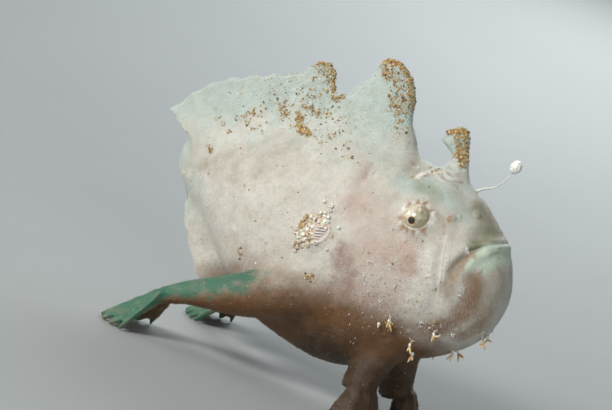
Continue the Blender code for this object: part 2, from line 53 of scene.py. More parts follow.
# x, top, bottom, height of the widest line, half width, and how sharply it narrows above and below
TRUNK = (
    (-51.0, 46.0, 38.0, 42.0, 1.6, 0.9, 0.9),
    (-47.0, 48.6, 35.6, 42.0, 2.8, 0.9, 0.9),
    (-42.0, 49.6, 34.6, 42.0, 3.6, 0.9, 0.9),
    (-36.0, 51.8, 31.3, 41.5, 5.0, 1.2, 1.2),
    (-28.0, 56.0, 24.5, 40.0, 8.0, 1.4, 1.3),
    (-18.0, 60.5, 16.4, 37.0, 11.8, 1.5, 1.1),
    (-8.0, 64.3, 11.6, 34.0, 14.8, 1.5, 0.9),
    (3.0, 66.5, 9.4, 32.5, 16.4, 1.5, 0.85),
    (12.0, 65.6, 8.9, 33.0, 16.7, 1.4, 0.85),
    (20.0, 64.3, 10.6, 35.0, 16.3, 1.3, 0.85),
    (27.0, 65.0, 14.2, 37.5, 15.4, 1.4, 0.85),
    (33.0, 62.5, 18.0, 39.0, 14.5, 1.4, 0.85),
    (39.0, 58.2, 21.8, 39.5, 13.2, 1.2, 0.85),
    (44.0, 53.9, 25.8, 39.5, 11.2, 1.0, 0.85),
    (47.2, 49.8, 29.4, 39.2, 8.6, 0.9, 0.85),
    (49.3, 44.8, 33.0, 38.8, 5.2, 0.9, 0.9),
    (50.3, 39.2, 37.8, 38.5, 0.8, 1.0, 1.0),
)
BEND_START_X = -34.0
BEND_RADIUS = 11.5
BEND_MOST = math.radians(78.0)
flesh = []  # the closed forms that grow together into one skin: kind, points and faces


def smooth_rows(rows, steps):
    """Rows of a table with steps - 1 more between each two, on a curve through them all."""
    rows = np.array(rows, float)
    padded = np.vstack([2 * rows[0] - rows[1], rows, 2 * rows[-1] - rows[-2]])
    made = []
    for a, b, c, d in zip(padded, padded[1:], padded[2:], padded[3:]):
        for t in np.arange(steps) / steps:
            bow = 2 * a - 5 * b + 4 * c - d + t * (3 * (b - c) + d - a)
            made.append(b + 0.5 * t * (c - a + t * bow))
    made.append(rows[-1])
    return np.array(made)


def bent(points):
    """Where points of the straight tail lie once the tail stock is bent to the left."""
    points = np.array(points, float)
    past = np.maximum(BEND_START_X - points[..., 0], 0.0)
    angle = np.minimum(past / BEND_RADIUS, BEND_MOST)
    straight = past - angle * BEND_RADIUS
    reach = BEND_RADIUS - points[..., 1]
    made = points.copy()
    x = BEND_START_X - reach * np.sin(angle) - straight * np.cos(angle)
    y = BEND_RADIUS - reach * np.cos(angle) + straight * np.sin(angle)
    made[..., 0] = np.where(past > 0, x, points[..., 0])
    made[..., 1] = np.where(past > 0, y, points[..., 1])
    return made


def round_turn(count):
    """Angles evenly spaced round a full turn."""
    return 2 * math.pi * np.arange(count) / count


def stacked(rings):
    """A closed form from rings of points one after another, with a fan of faces at each end."""
    rings = np.array(rings, float)
    count, around = rings.shape[:2]
    points = np.vstack([rings.reshape(-1, 3), rings[0].mean(axis=0), rings[-1].mean(axis=0)])
    faces = []
    for i in range(count - 1):
        a, b = i * around, (i + 1) * around
        faces += [(a + j, a + (j + 1) % around, b + (j + 1) % around, b + j) for j in range(around)]
    last = (count - 1) * around
    faces += [((j + 1) % around, j, count * around) for j in range(around)]
    faces += [(last + j, last + (j + 1) % around, count * around + 1) for j in range(around)]
    return points, faces


def section(row, around):
    """One section of the trunk, as a closed loop of points."""
    x, top, bottom, middle, half, sharp_up, sharp_down = row
    angle = round_turn(around)
    c, s = np.cos(angle), np.sin(angle)
    sharp = np.where(s > 0, sharp_up, sharp_down)
    reach = np.where(s > 0, top - middle, middle - bottom)
    y = half * np.sign(c) * np.abs(c) ** sharp
    return np.stack([np.full(around, x), y, middle + reach * s], axis=1)


def skin_point(x, z, side=1):
    """The point of the plain trunk at x and height z on the right side, or on the left for side -1."""
    top, bottom, middle, half, sharp_up, sharp_down = (
        np.interp(x, TRUNK_LINE[:, 0], TRUNK_LINE[:, k]) for k in range(1, 7)
    )
    sharp, reach = (sharp_up, top - middle) if z > middle else (sharp_down, middle - bottom)
    share = min(abs(z - middle) / reach, 1.0)
    return bent((x, -side * half * (1 - share * share) ** (sharp / 2), z))


def skin_normal(x, z, side=1, step=0.4):
    """The direction that points straight out of the trunk there."""
    forward = skin_point(x + step, z, side) - skin_point(x - step, z, side)
    up = skin_point(x, z + step, side) - skin_point(x, z - step, side)
    normal = np.cross(forward, up) * side
    return normal / np.linalg.norm(normal)


TRUNK_LINE = smooth_rows(TRUNK, 8)
flesh.append(("trunk", *stacked([bent(section(row, 160)) for row in TRUNK_LINE])))

# Three spines of the first dorsal fin are wrapped in skin. The third leans back behind the eyes as a
# thick crest, and the second is a stalk over the snout with a ragged club of skin at its tip.
THIRD_SPINE = (  # height, rear x, front x, half thickness
    (56.0, -10.6, 15.0, 4.6),
    (62.0, -10.6, 16.4, 4.4),
    (65.5, -10.6, 15.4, 4.0),
    (68.8, -10.6, 13.0, 3.5),
    (71.3, -10.4, 11.2, 3.0),
    (72.4, -7.8, 10.6, 2.8),
    (74.0, -6.4, 10.2, 2.6),
    (76.2, -5.2, 9.7, 2.3),
    (79.0, -3.2, 8.6, 1.9),
    (82.0, -2.7, 6.2, 1.5),
    (84.2, -1.0, 2.6, 0.6),
)
SECOND_SPINE = (
    (59.5, 19.5, 32.0, 3.2),
    (64.0, 21.5, 30.6, 2.3),
    (67.5, 23.8, 28.3, 1.6),
    (69.2, 22.6, 27.6, 1.3),
    (71.0, 19.8, 26.7, 1.4),
    (73.6, 20.4, 25.8, 1.4),
    (75.4, 22.6, 24.6, 0.6),
)


def upright(rows, sharp, around=72):
    """A crest or stalk of skin on a spine, from its root up."""
    angle = round_turn(around)
    rings = []
    for z, rear, front, half in smooth_rows(rows, 6):
        x = (rear + front) / 2 + (front - rear) / 2 * np.cos(angle)
        y = half * np.sign(np.sin(angle)) * np.abs(np.sin(angle)) ** sharp
        rings.append(np.stack([x, y, np.full(around, z)], axis=1))
    return stacked(rings)


flesh.append(("fin", *upright(THIRD_SPINE, 0.75)))
flesh.append(("fin", *upright(SECOND_SPINE, 1.0)))

# The soft fins are webs of skin over jointed rays that show as low ridges on both faces. Each runs
# from a root line sunk in the body to a rim line, and thins out fast from its fleshy root.
DORSAL_ROOT = ((-11.1, 0, 58.0), (-20.0, 0, 55.0), (-30.0, 0, 50.0), (-40.0, 0, 44.0))
DORSAL_RIM = (
    (-11.3, 0, 72.6),
    (-14.0, 0, 77.3),
    (-17.8, 0, 77.0),
    (-22.0, 0, 72.8),
    (-29.5, 0, 69.2),
    (-38.0, 0, 65.0),
    (-45.5, 0, 60.0),
    (-52.3, 0, 50.8),
)
ANAL_ROOT = ((-37.0, 0, 40.0), (-30.0, 0, 32.0), (-22.0, 0, 24.0), (-13.0, 0, 20.0))
ANAL_RIM = ((-39.4, 0, 35.0), (-38.0, 0, 28.0), (-33.0, 0, 20.0), (-26.0, 0, 13.0), (-17.5, 0, 9.0))
CAUDAL_ROOT = ((-46.0, 0, 46.4), (-47.0, 0, 42.0), (-46.0, 0, 37.6))
CAUDAL_RIM = (
    (-66.0, 0, 56.0),
    (-73.0, 0, 49.0),
    (-74.5, 0, 41.0),
    (-72.0, 0, 33.0),
    (-64.0, 0, 27.5),
)
FLARE = 2.2  # power by which the flesh thins out from the root
DORSAL_RAYS, ANAL_RAYS, CAUDAL_RAYS = 12, 7, 9


def along(rows, shares):
    """Points at shares, from 0 to 1, of the way along a smooth line through rows."""
    line = smooth_rows(rows, 8)
    steps = np.linspace(0.0, 1.0, len(line))
    return np.stack([np.interp(shares, steps, line[:, k]) for k in range(3)], axis=-1)


def two_faced(columns, rows):
    """The faces of a thin closed form from one grid of points on each side of it."""
    count = columns * rows
    index = np.arange(count).reshape(columns, rows)
    a, b = index[:-1, :-1].ravel(), index[1:, :-1].ravel()
    c, d = index[1:, 1:].ravel(), index[:-1, 1:].ravel()
    faces = [*zip(a, b, c, d), *zip(d + count, c + count, b + count, a + count)]
    edge = np.concatenate([index[:, 0], index[-1, 1:], index[-2::-1, -1], index[0, -2:0:-1]])
    after = np.roll(edge, -1)
    return faces + [*zip(edge, edge + count, after + count, after)]


def fan(root, rim, rays, flesh_root, flesh_rim, ridge, scallop, columns_a_ray=12, rows=26, turn=None):
    """A fin between a root line and a rim line, its rays raised on both faces of the web."""
    columns = (rays - 1) * columns_a_ray + 1
    share = np.linspace(0.0, 1.0, columns)
    on_ray = (0.5 + 0.5 * np.cos(2 * math.pi * share * (rays - 1))) ** 1.6
    start, end = along(root, share), along(rim, share)
    v = np.linspace(0.0, 1.0, rows + 1)[None, :] * (1 - scallop * (1 - on_ray[:, None]) ** 2)
    mids = start[:, None] + (end - start)[:, None] * v[..., None]
    if turn:
        mids = turn(mids)
    web = flesh_rim + (flesh_root - flesh_rim) * (1 - v) ** FLARE
    half = web / 2 + ridge * on_ray[:, None] * np.minimum(1.0, 1.25 - v)
    normals = np.cross(np.gradient(mids, axis=0), np.gradient(mids, axis=1))
    normals /= np.linalg.norm(normals, axis=2, keepdims=True)
    faces_of_web = [mids + normals * half[..., None], mids - normals * half[..., None]]
    return np.vstack([side.reshape(-1, 3) for side in faces_of_web]), two_faced(columns, rows + 1)


flesh.append(("fin", *fan(DORSAL_ROOT, DORSAL_RIM, DORSAL_RAYS, 7.0, 0.9, 0.30, 0.03)))
flesh.append(("fin", *fan(ANAL_ROOT, ANAL_RIM, ANAL_RAYS, 7.0, 0.9, 0.30, 0.05)))
flesh.append(("fin", *fan(CAUDAL_ROOT, CAUDAL_RIM, CAUDAL_RAYS, 3.6, 0.9, 0.26, 0.06, turn=bent)))

# Arms reach back from the flanks and feet stand under the throat. Each ends in a small hand or foot
# of separate rays that spread on the floor like fingers, with short webs between them.
ARM = (  # x, y, z and radius, on the fish's left for a positive y
    (11.0, 6.0, 27.5, 8.6),
    (3.0, 11.6, 23.6, 8.2),
    (-6.0, 17.0, 18.6, 6.2),
    (-14.0, 20.0, 15.3, 4.3),
    (-20.0, 21.3, 12.8, 3.0),
    (-24.5, 22.3, 10.0, 2.3),
)
HAND_ROOT = ((-22.0, 20.8, 11.0), (-23.0, 22.2, 12.0), (-22.6, 23.8, 11.2))
HAND_RIM = (
    (-29.0, 12.5, 0.3),
    (-34.5, 17.5, 0.3),
    (-36.5, 24.0, 0.3),
    (-33.5, 30.5, 0.3),
    (-27.0, 33.0, 0.3),
)
LEG = (
    (28.5, 4.0, 23.0, 5.8),
    (27.5, 6.0, 16.0, 5.0),
    (27.2, 7.6, 10.5, 4.4),
    (27.6, 8.4, 7.0, 3.8),
)
STRIDE = {1: -2.0, -1: 5.0}  # the right foot stands a little behind the left one
LEG_TOP = 23.0
FOOT_ROOT_RADIUS = 2.8
FOOT_ROOT_Z = 8.6
FOOT_RIM_RADIUS = 9.0
FOOT_RIM_Z = 0.2
FOOT_SPREAD = (math.radians(-50.0), math.radians(105.0))
HAND_RAYS, FOOT_RAYS = 9, 5


def limb(rows, flat=1.0, up=(0.0, 0.0, 1.0), around=48, steps=10):
    """A limb along a middle line, flattened across its up direction."""
    line = smooth_rows(rows, steps)
    angle = round_turn(around)
    rings = []
    for row, forward in zip(line, np.gradient(line[:, :3], axis=0)):
        forward = forward / np.linalg.norm(forward)
        across = np.cross(forward, up)
        across /= np.linalg.norm(across)
        raised = np.cross(across, forward)
        circle = np.cos(angle)[:, None] * across + flat * np.sin(angle)[:, None] * raised
        rings.append(row[:3] + row[3] * circle)
    return stacked(rings)


def mirrored(rows, side):
    """Rows on the right side for side 1, or on the left one for -1."""
    rows = np.array(rows, float)
    rows[:, 1] *= -side
    return rows


def toes(centre, radius, height, side):
    """Points round a foot from inward and ahead to behind, at one height."""
    angles = np.linspace(*FOOT_SPREAD, FOOT_RAYS)
    x = centre[0] + radius * np.cos(angles)
    y = centre[1] - side * radius * np.sin(angles)
    return np.stack([x, y, np.full(FOOT_RAYS, height)], axis=1)


for side in (1, -1):
    flesh.append(("limb", *limb(mirrored(ARM, side), flat=0.9)))
    hand_root, hand_rim = mirrored(HAND_ROOT, side), mirrored(HAND_RIM, side)
    flesh.append(("hand", *fan(hand_root, hand_rim, HAND_RAYS, 3.4, 1.0, 0.34, 0.16)))
    leg = mirrored(LEG, side)
    leg[:, 0] += STRIDE[side] * (1 - leg[:, 2] / LEG_TOP)
    flesh.append(("limb", *limb(leg, up=(1.0, 0.0, 0.0))))
    foot_root = toes(leg[-1], FOOT_ROOT_RADIUS, FOOT_ROOT_Z, side)
    foot_rim = toes(leg[-1], FOOT_RIM_RADIUS, FOOT_RIM_Z, side)
    foot = fan(foot_root, foot_rim, FOOT_RAYS, 3.4, 1.1, 0.42, 0.22, columns_a_ray=20)
    flesh.append(("hand", *foot))

# The face has small eyes in low mounds with thick lids, two pipe nostrils a side, and fat lips along
# a steep mouth that turns down at its corners.
EYE_X, EYE_Z = 25.0, 52.0
EYE_RADIUS = 4.0
EYE_SUNK = 1.2
MOUND_RADIUS = (6.4, 3.6, 6.4)
LID_RADIUS = 3.65
LID_THICKNESS = 0.42
LID_OUT = 1.75
MOUTH_LINE = ((45.3, 53.8), (38.6, 49.7), (36.9, 46.3), (37.2, 42.0))
LIP_RADIUS = 1.7
LIP_SUNK = 0.7
NOSTRILS = ((36.4, 5.4), (31.9, 9.9))
NOSTRIL_RADIUS = 0.55
NOSTRIL_RIM = 0.36


def turned(direction):
    """Three axes, as columns, whose last one points along a direction."""
    third = np.asarray(direction, float) / np.linalg.norm(direction)
    first = np.cross((0.0, 0.0, 1.0) if abs(third[2]) < 0.9 else (1.0, 0.0, 0.0), third)
    first /= np.linalg.norm(first)
    return np.stack([first, np.cross(third, first), third], axis=1)


def ball(centre, radii, axes=np.eye(3), around=48, down=24):
    """An ellipsoid of rings, its radii along the given axes."""
    angle = round_turn(around)
    rings = []
    for polar in np.linspace(0.02, math.pi - 0.02, down):
        flat = np.stack([np.cos(angle), np.sin(angle)], axis=1) * math.sin(polar)
        loop = np.column_stack([flat, np.full(around, math.cos(polar))])
        rings.append(np.asarray(centre) + (loop * radii) @ axes.T)
    return stacked(rings)


def hoop(centre, direction, radius, thickness, around=48, sides=16):
    """A ring of round section that lies square to a direction."""
    axes = turned(direction)
    a, b = np.meshgrid(round_turn(around), round_turn(sides), indexing="ij")
    reach = radius + thickness * np.cos(b)
    local = np.stack([reach * np.cos(a), reach * np.sin(a), thickness * np.sin(b)], axis=-1)
    points = (np.asarray(centre) + local @ axes.T).reshape(-1, 3)
    index = np.arange(around * sides).reshape(around, sides)
    ahead, beside = np.roll(index, -1, axis=0), np.roll(index, -1, axis=1)
    both = np.roll(ahead, -1, axis=1)
    return points, [*zip(index.ravel(), ahead.ravel(), both.ravel(), beside.ravel())]


def eye_centre(side):
    return skin_point(EYE_X, EYE_Z, side) - EYE_SUNK * skin_normal(EYE_X, EYE_Z, side)


def nostril_height(x, y):
    """The height at which the trunk is y from the middle plane, found from the snout's top down."""
    return next(z for z in np.arange(66.0, 42.0, -0.1) if abs(skin_point(x, z)[1]) >= y)


mouth = smooth_rows(MOUTH_LINE, 8)
lip_paths = []
for side in (1, -1):
    path = []
    for i, (x, z) in enumerate(mouth):
        middle = (skin_point(x, z) - LIP_SUNK * skin_normal(x, z)) * (1, side, 1)
        thinned = min(1.0, 0.35 + 0.07 * (len(mouth) - i))
        path.append((*middle, LIP_RADIUS * thinned))
    lip_paths.append(path)
flesh.append(("face", *limb(lip_paths[0][:0:-1] + lip_paths[1][1:], 1.0, (1.0, 0.0, 0.3), 24, 2)))
for side in (1, -1):
    out = skin_normal(EYE_X, EYE_Z, side)
    eye = eye_centre(side)
    flesh.append(("face", *ball(eye - out, MOUND_RADIUS, turned(out)[:, [0, 2, 1]])))
    flesh.append(("rim", *hoop(eye + out * LID_OUT, out, LID_RADIUS, LID_THICKNESS)))
    for x, y in NOSTRILS:
        z = nostril_height(x, y)
        normal = skin_normal(x, z, side)
        rim_at = skin_point(x, z, side) + normal * 0.15
        flesh.append(("rim", *hoop(rim_at, normal, NOSTRIL_RADIUS, NOSTRIL_RIM, 20, 10)))

# All of this flesh is covered by one loose, thin skin, without scales. The forms are fused into one
# closed surface, and the hollows where fins, limbs and lips grow out of the body are filled softly.
FINE_GRAIN = 0.36
SKIN_GRAIN = FINE_GRAIN
BLEND_ROUNDS = 130  # at the fine grain
BLEND_REACH = {"fin": 3.2, "limb": 4.6, "hand": 1.6, "face": 1.6}


def mesh_object(name, points, faces):
    """A smooth mesh object from points in millimetres, moved ahead with the whole fish."""
    mesh = bpy.data.meshes.new(name)
    mesh.from_pydata((np.asarray(points) + (AHEAD, 0, 0)) * MM, [], [tuple(map(int, f)) for f in faces])
    mesh.shade_smooth()
    made = bpy.data.objects.new(name, mesh)
    bpy.context.scene.collection.objects.link(made)
    return made


def joined(forms):
    """Closed forms as one list of points and one of faces."""
    points, faces, start = [], [], 0
    for some, loops in forms:
        points.append(some)
        faces += [tuple(i + start for i in loop) for loop in loops]
        start += len(some)
    return np.vstack(points), faces


def gathered(kinds):
    """All flesh of some kinds, as one list of points and one of faces."""
    return joined([form for kind, *form in flesh if kind in kinds])


def fused(name, points, faces, grain):
    """One closed surface round overlapping closed forms."""
    made = mesh_object(name, points, faces)
    remesh = made.modifiers.new("fuse", "REMESH")
    remesh.mode = "VOXEL"
    remesh.voxel_size = grain * MM
    graph = bpy.context.evaluated_depsgraph_get()
    mesh = bpy.data.meshes.new_from_object(made.evaluated_get(graph))
    made.modifiers.clear()
    old, made.data = made.data, mesh
    bpy.data.meshes.remove(old)
    return made


def keep_largest(obj):
    """Drops the small closed scraps that fusing leaves inside."""
    editable = bmesh.new()
    editable.from_mesh(obj.data)
    editable.verts.ensure_lookup_table()
    seen, best = set(), []
    for first in editable.verts:
        if first.index in seen:
            continue
        stack, piece = [first], []
        seen.add(first.index)
        while stack:
            current = stack.pop()
            piece.append(current)
            for edge in current.link_edges:
                other = edge.other_vert(current)
                if other.index not in seen:
                    seen.add(other.index)
                    stack.append(other)
        best = piece if len(piece) > len(best) else best
    kept = {v.index for v in best}
    bmesh.ops.delete(editable, geom=[v for v in editable.verts if v.index not in kept], context="VERTS")
    editable.to_mesh(obj.data)
    editable.free()


def points_of(obj):
    """The points of a mesh in the fish's own millimetres."""
    flat = np.empty(len(obj.data.vertices) * 3, np.float32)
    obj.data.vertices.foreach_get("co", flat)
    return flat.reshape(-1, 3).astype(float) / MM - (AHEAD, 0, 0)


def put_points(obj, points):
    flat = ((points + (AHEAD, 0, 0)) * MM).astype(np.float32).ravel()
    obj.data.vertices.foreach_set("co", flat)
    obj.data.update()


def normals_of(obj):
    flat = np.empty(len(obj.data.vertices) * 3, np.float32)
    obj.data.vertex_normals.foreach_get("vector", flat)
    return flat.reshape(-1, 3).astype(float)


def reach_to(kinds, points):
    """The distance from each point to the nearest surface of some kinds of form."""
    tree = BVHTree.FromPolygons(*[list(part) for part in gathered(kinds)])
    return np.array([tree.find_nearest(p)[3] for p in points])


def relaxed(points, edges, share, rounds):
    """Draws each point towards the middle of its neighbours, by its own share."""
    size = len(points)
    a, b = edges.T
    links = np.bincount(edges.ravel(), minlength=size)
    for _ in range(rounds):
        for k in range(3):
            total = np.bincount(a, points[b, k], size) + np.bincount(b, points[a, k], size)
            points[:, k] += share * (total / links - points[:, k])
    return points


def faded(value, start, end):
    """0 up to start and 1 from end on, with a soft way between."""
    t = np.clip((value - start) / (end - start), 0.0, 1.0)
    return t * t * (3 - 2 * t)


def near_path(points, path):
    """How far each point lies from a path, and its share of the way along it."""
    gaps = np.full(len(points), np.inf)
    shares = np.zeros(len(points))
    for i, (a, b) in enumerate(zip(path, path[1:])):
        t = np.clip((points - a) @ (b - a) / ((b - a) @ (b - a)), 0.0, 1.0)
        gap = np.linalg.norm(points - a - t[:, None] * (b - a), axis=1)
        closer = gap < gaps
        gaps[closer] = gap[closer]
        shares[closer] = (i + t[closer]) / (len(path) - 1)
    return gaps, shares


DROP_FROM = 4.0
DROP_LONG = 6.0


def over_skin(places, side):
    """A path over the skin, or up a fin, through places that are each an x and a height."""
    line = smooth_rows(places, 4) if len(places) > 2 else np.array(places, float)
    path = []
    for x, z in line:
        point = skin_point(x, z, side)
        out = np.array((0.0, -side, 0.0)) if x > BEND_START_X else skin_normal(x, z, side)
        found = skin_tree.ray_cast(point + DROP_FROM * out, -out, DROP_LONG)[0]
        path.append(point if found is None else found)
    return np.array(path)


def to_line(places, reach, sides=(1, -1)):
    """The points of the skin within reach of a path on each side, with their gaps and shares."""
    for side in sides:
        path = over_skin(places, side)
        low, high = path.min(axis=0) - reach, path.max(axis=0) + reach
        near = np.flatnonzero(((skin_points > low) & (skin_points < high)).all(axis=1))
        if len(near):
            yield near, *near_path(skin_points[near], path)


def drawn(places, rise, width, sides=(1, -1), ends=0.3):
    """How far a fold along a path lifts each point of the skin, or sinks it where rise is negative."""
    lift = np.zeros(len(skin_points))
    for near, gap, share in to_line(places, 3 * width, sides):
        fold = np.exp(-((gap / width) ** 2)) * faded(np.minimum(share, 1 - share), -0.05, ends)
        lift[near] = np.maximum(lift[near], fold)
    return rise * lift


def softened(values, rounds):
    """Values of the skin's points, evened out with those of their neighbours."""
    return relaxed(np.repeat(values[:, None], 3, axis=1), pairs, np.ones(len(values)), rounds)[:, 0]


def tree_of(*objs):
    """Meshes as they are now, to be searched for the nearest place or along a ray."""
    points, faces = joined([(points_of(obj), [f.vertices for f in obj.data.polygons]) for obj in objs])
    return BVHTree.FromPolygons(points.tolist(), faces)


def rough(scale, seed):
    """Soft noise over the skin, about -1 to 1, whose swells are as wide as scale."""
    shift = np.array((13.1, 7.7, 3.3)) * seed
    return np.array([noise.noise(p) for p in skin_points / scale + shift])


skin = fused("skin", *gathered(("trunk", "fin", "limb", "hand", "face", "rim")), SKIN_GRAIN)
keep_largest(skin)
skin_points = points_of(skin)
pairs = np.empty(len(skin.data.edges) * 2, np.int32)
skin.data.edges.foreach_get("vertices", pairs)
pairs = pairs.reshape(-1, 2)
skin_points = relaxed(skin_points, pairs, np.full(len(skin_points), 0.5), 3)
to_body = reach_to(("trunk", "limb"), skin_points)
to_trunk = reach_to(("trunk",), skin_points)
hollow = np.zeros(len(skin_points))
for kind, reach in BLEND_REACH.items():
    to_kind = reach_to((kind,), skin_points)
    to_other = to_body if kind == "hand" else to_trunk
    meeting = 1 - faded(np.maximum(to_kind, to_other), reach * 0.3, reach)
    hollow = np.maximum(hollow, meeting * reach / max(BLEND_REACH.values()))
rounds = int(BLEND_ROUNDS * (FINE_GRAIN / SKIN_GRAIN) ** 2)
skin_points = relaxed(skin_points, pairs, 0.6 * hollow, rounds)
put_points(skin, skin_points)
skin_tree = tree_of(skin)

# The loose skin lies in folds round the mouth and over the cheek, is pitted at the gill openings, and
# is dotted with low warts. Each fold is a path of places, how far it rises, and its half width.
MOUTH_SLIT = (
    (39.2, 49.4), (40.4, 50.0), (41.4, 51.1), (42.2, 52.0), (43.2, 52.9), (44.2, 53.6), (45.6, 54.5),
)
FOLDS = (
    (MOUTH_SLIT, -0.45, 0.6, (1, -1), 0.12),
    (MOUTH_SLIT[:4], -0.45, 1.1),
    (((40.5, 48.6), (39.4, 47.3), (38.7, 45.7), (38.3, 43.6), (38.3, 41.2)), -0.6, 1.1),
    (((45.2, 52.2), (43.3, 50.8), (41.4, 47.6), (40.4, 43.6), (40.0, 40.0)), 0.35, 1.1),
    (((33.3, 50.8), (34.4, 47.6), (35.2, 45.0), (37.0, 38.6), (38.2, 34.5)), 0.22, 0.4, (1, -1), 0.2),
    (((34.0, 50.6), (35.1, 47.7), (36.0, 45.2), (36.9, 42.2), (38.0, 38.8)), 0.2, 0.36, (1, -1), 0.2),
    (((34.9, 50.0), (35.8, 47.6), (36.7, 45.0), (37.5, 42.6)), 0.16, 0.36, (1, -1), 0.2),
    (((32.4, 48.6), (33.2, 44.0), (35.0, 39.0)), 0.2, 0.7),
    (((36.9, 41.5), (37.2, 36.0), (38.0, 30.5), (40.0, 25.5)), -0.4, 1.5),
    (((41.5, 55.6), (40.2, 53.4), (39.4, 51.4)), -0.4, 1.7),
    (((38.0, 56.4), (36.6, 54.0), (36.8, 51.6)), 0.25, 1.3),
    (((16.5, 59.0), (20.6, 60.0), (24.6, 61.0), (28.0, 63.6)), 0.35, 1.6),
    (((18.4, 63.2), (16.6, 61.2), (15.6, 58.6)), -0.5, 1.5),
    (((-34.5, 47.2), (-34.2, 43.4), (-33.5, 38.6)), -0.5, 0.8),
    (((-31.6, 47.8), (-31.0, 43.0), (-30.4, 38.2)), 0.25, 1.3),
    (((9.6, 60.5), (8.2, 56.0), (8.6, 51.0)), -0.3, 1.2),
    (((23.4, 66.4), (24.4, 64.8), (26.6, 64.6), (28.4, 65.6)), 0.48, 0.5),
    (((23.6, 64.6), (25.4, 63.2), (27.6, 63.2), (29.2, 64.0)), 0.48, 0.5),
    (((23.0, 63.2), (24.8, 61.8), (27.4, 61.8), (29.6, 62.6)), 0.48, 0.5),
    (((13.2, 31.4), (14.0, 26.0), (17.0, 20.5)), -0.3, 1.4),
    (((19.0, 27.0), (20.6, 21.0), (24.4, 16.4)), -0.25, 1.2),
)
CRUST_AT = (3.2, 39.5)
CRUST_BED = 0.45
GILL_AT = (-9.0, 17.5)
GILL_RADIUS, GILL_DEEP = 1.5, 1.6
SWELLS = ((14.0, 0.35), (6.0, 0.16), (2.6, 0.07), (1.3, 0.04))  # how wide, and how high
WART_COUNT = 260
WART_RISE = (0.12, 0.3)
WART_WIDTH = (0.35, 0.8)
EYE_CLEAR = (3.9, 5.2)  # the skin stays as it is up to the first distance from an eye's centre

eyes = [eye_centre(side) for side in (1, -1)]
from_eye = np.min([np.linalg.norm(skin_points - eye, axis=1) for eye in eyes], axis=0)
calm = faded(from_eye, *EYE_CLEAR) * faded(skin_points[:, 2], 1.0, 4.0)
lift = sum(height * rough(wide, 1 + i) for i, (wide, height) in enumerate(SWELLS))
lift += sum(drawn(*fold) for fold in FOLDS)
for side in (1, -1):
    gill = np.linalg.norm(skin_points - skin_point(*GILL_AT, side), axis=1)
    lift += 0.5 * np.exp(-(((gill - GILL_RADIUS * 1.25) / 0.6) ** 2))
    lift -= GILL_DEEP * (1 - faded(gill, GILL_RADIUS * 0.4, GILL_RADIUS * 1.1))
draw = np.random.default_rng(7)
warts = np.zeros(len(skin_points))
for root in draw.choice(len(skin_points), WART_COUNT, replace=False):
    wide = draw.uniform(*WART_WIDTH)
    near = np.flatnonzero((np.abs(skin_points - skin_points[root]) < 2.5 * wide).all(axis=1))
    gap = np.linalg.norm(skin_points[near] - skin_points[root], axis=1)
    warts[near] = np.maximum(warts[near], draw.uniform(*WART_RISE) * np.exp(-((gap / wide) ** 2)))
crust_gap = np.linalg.norm(skin_points - skin_point(*CRUST_AT), axis=1)
lift += CRUST_BED * (1 - faded(crust_gap, 3.0, 6.0))
skin_points += normals_of(skin) * ((lift + warts) * calm)[:, None]
put_points(skin, skin_points)
skin_tree = tree_of(skin)
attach(skin, "root")
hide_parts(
    "head", "lower_jaw", "torso", "tail", "dorsal_fin", "anal_fin", "caudal_fin",
    "third_spine", "second_spine", "pectoral_arm_right", "pectoral_arm_left",
    "pectoral_hand_right", "pectoral_hand_left", "pelvic_leg_right", "pelvic_leg_left",
    "pelvic_foot_right", "pelvic_foot_left",
)

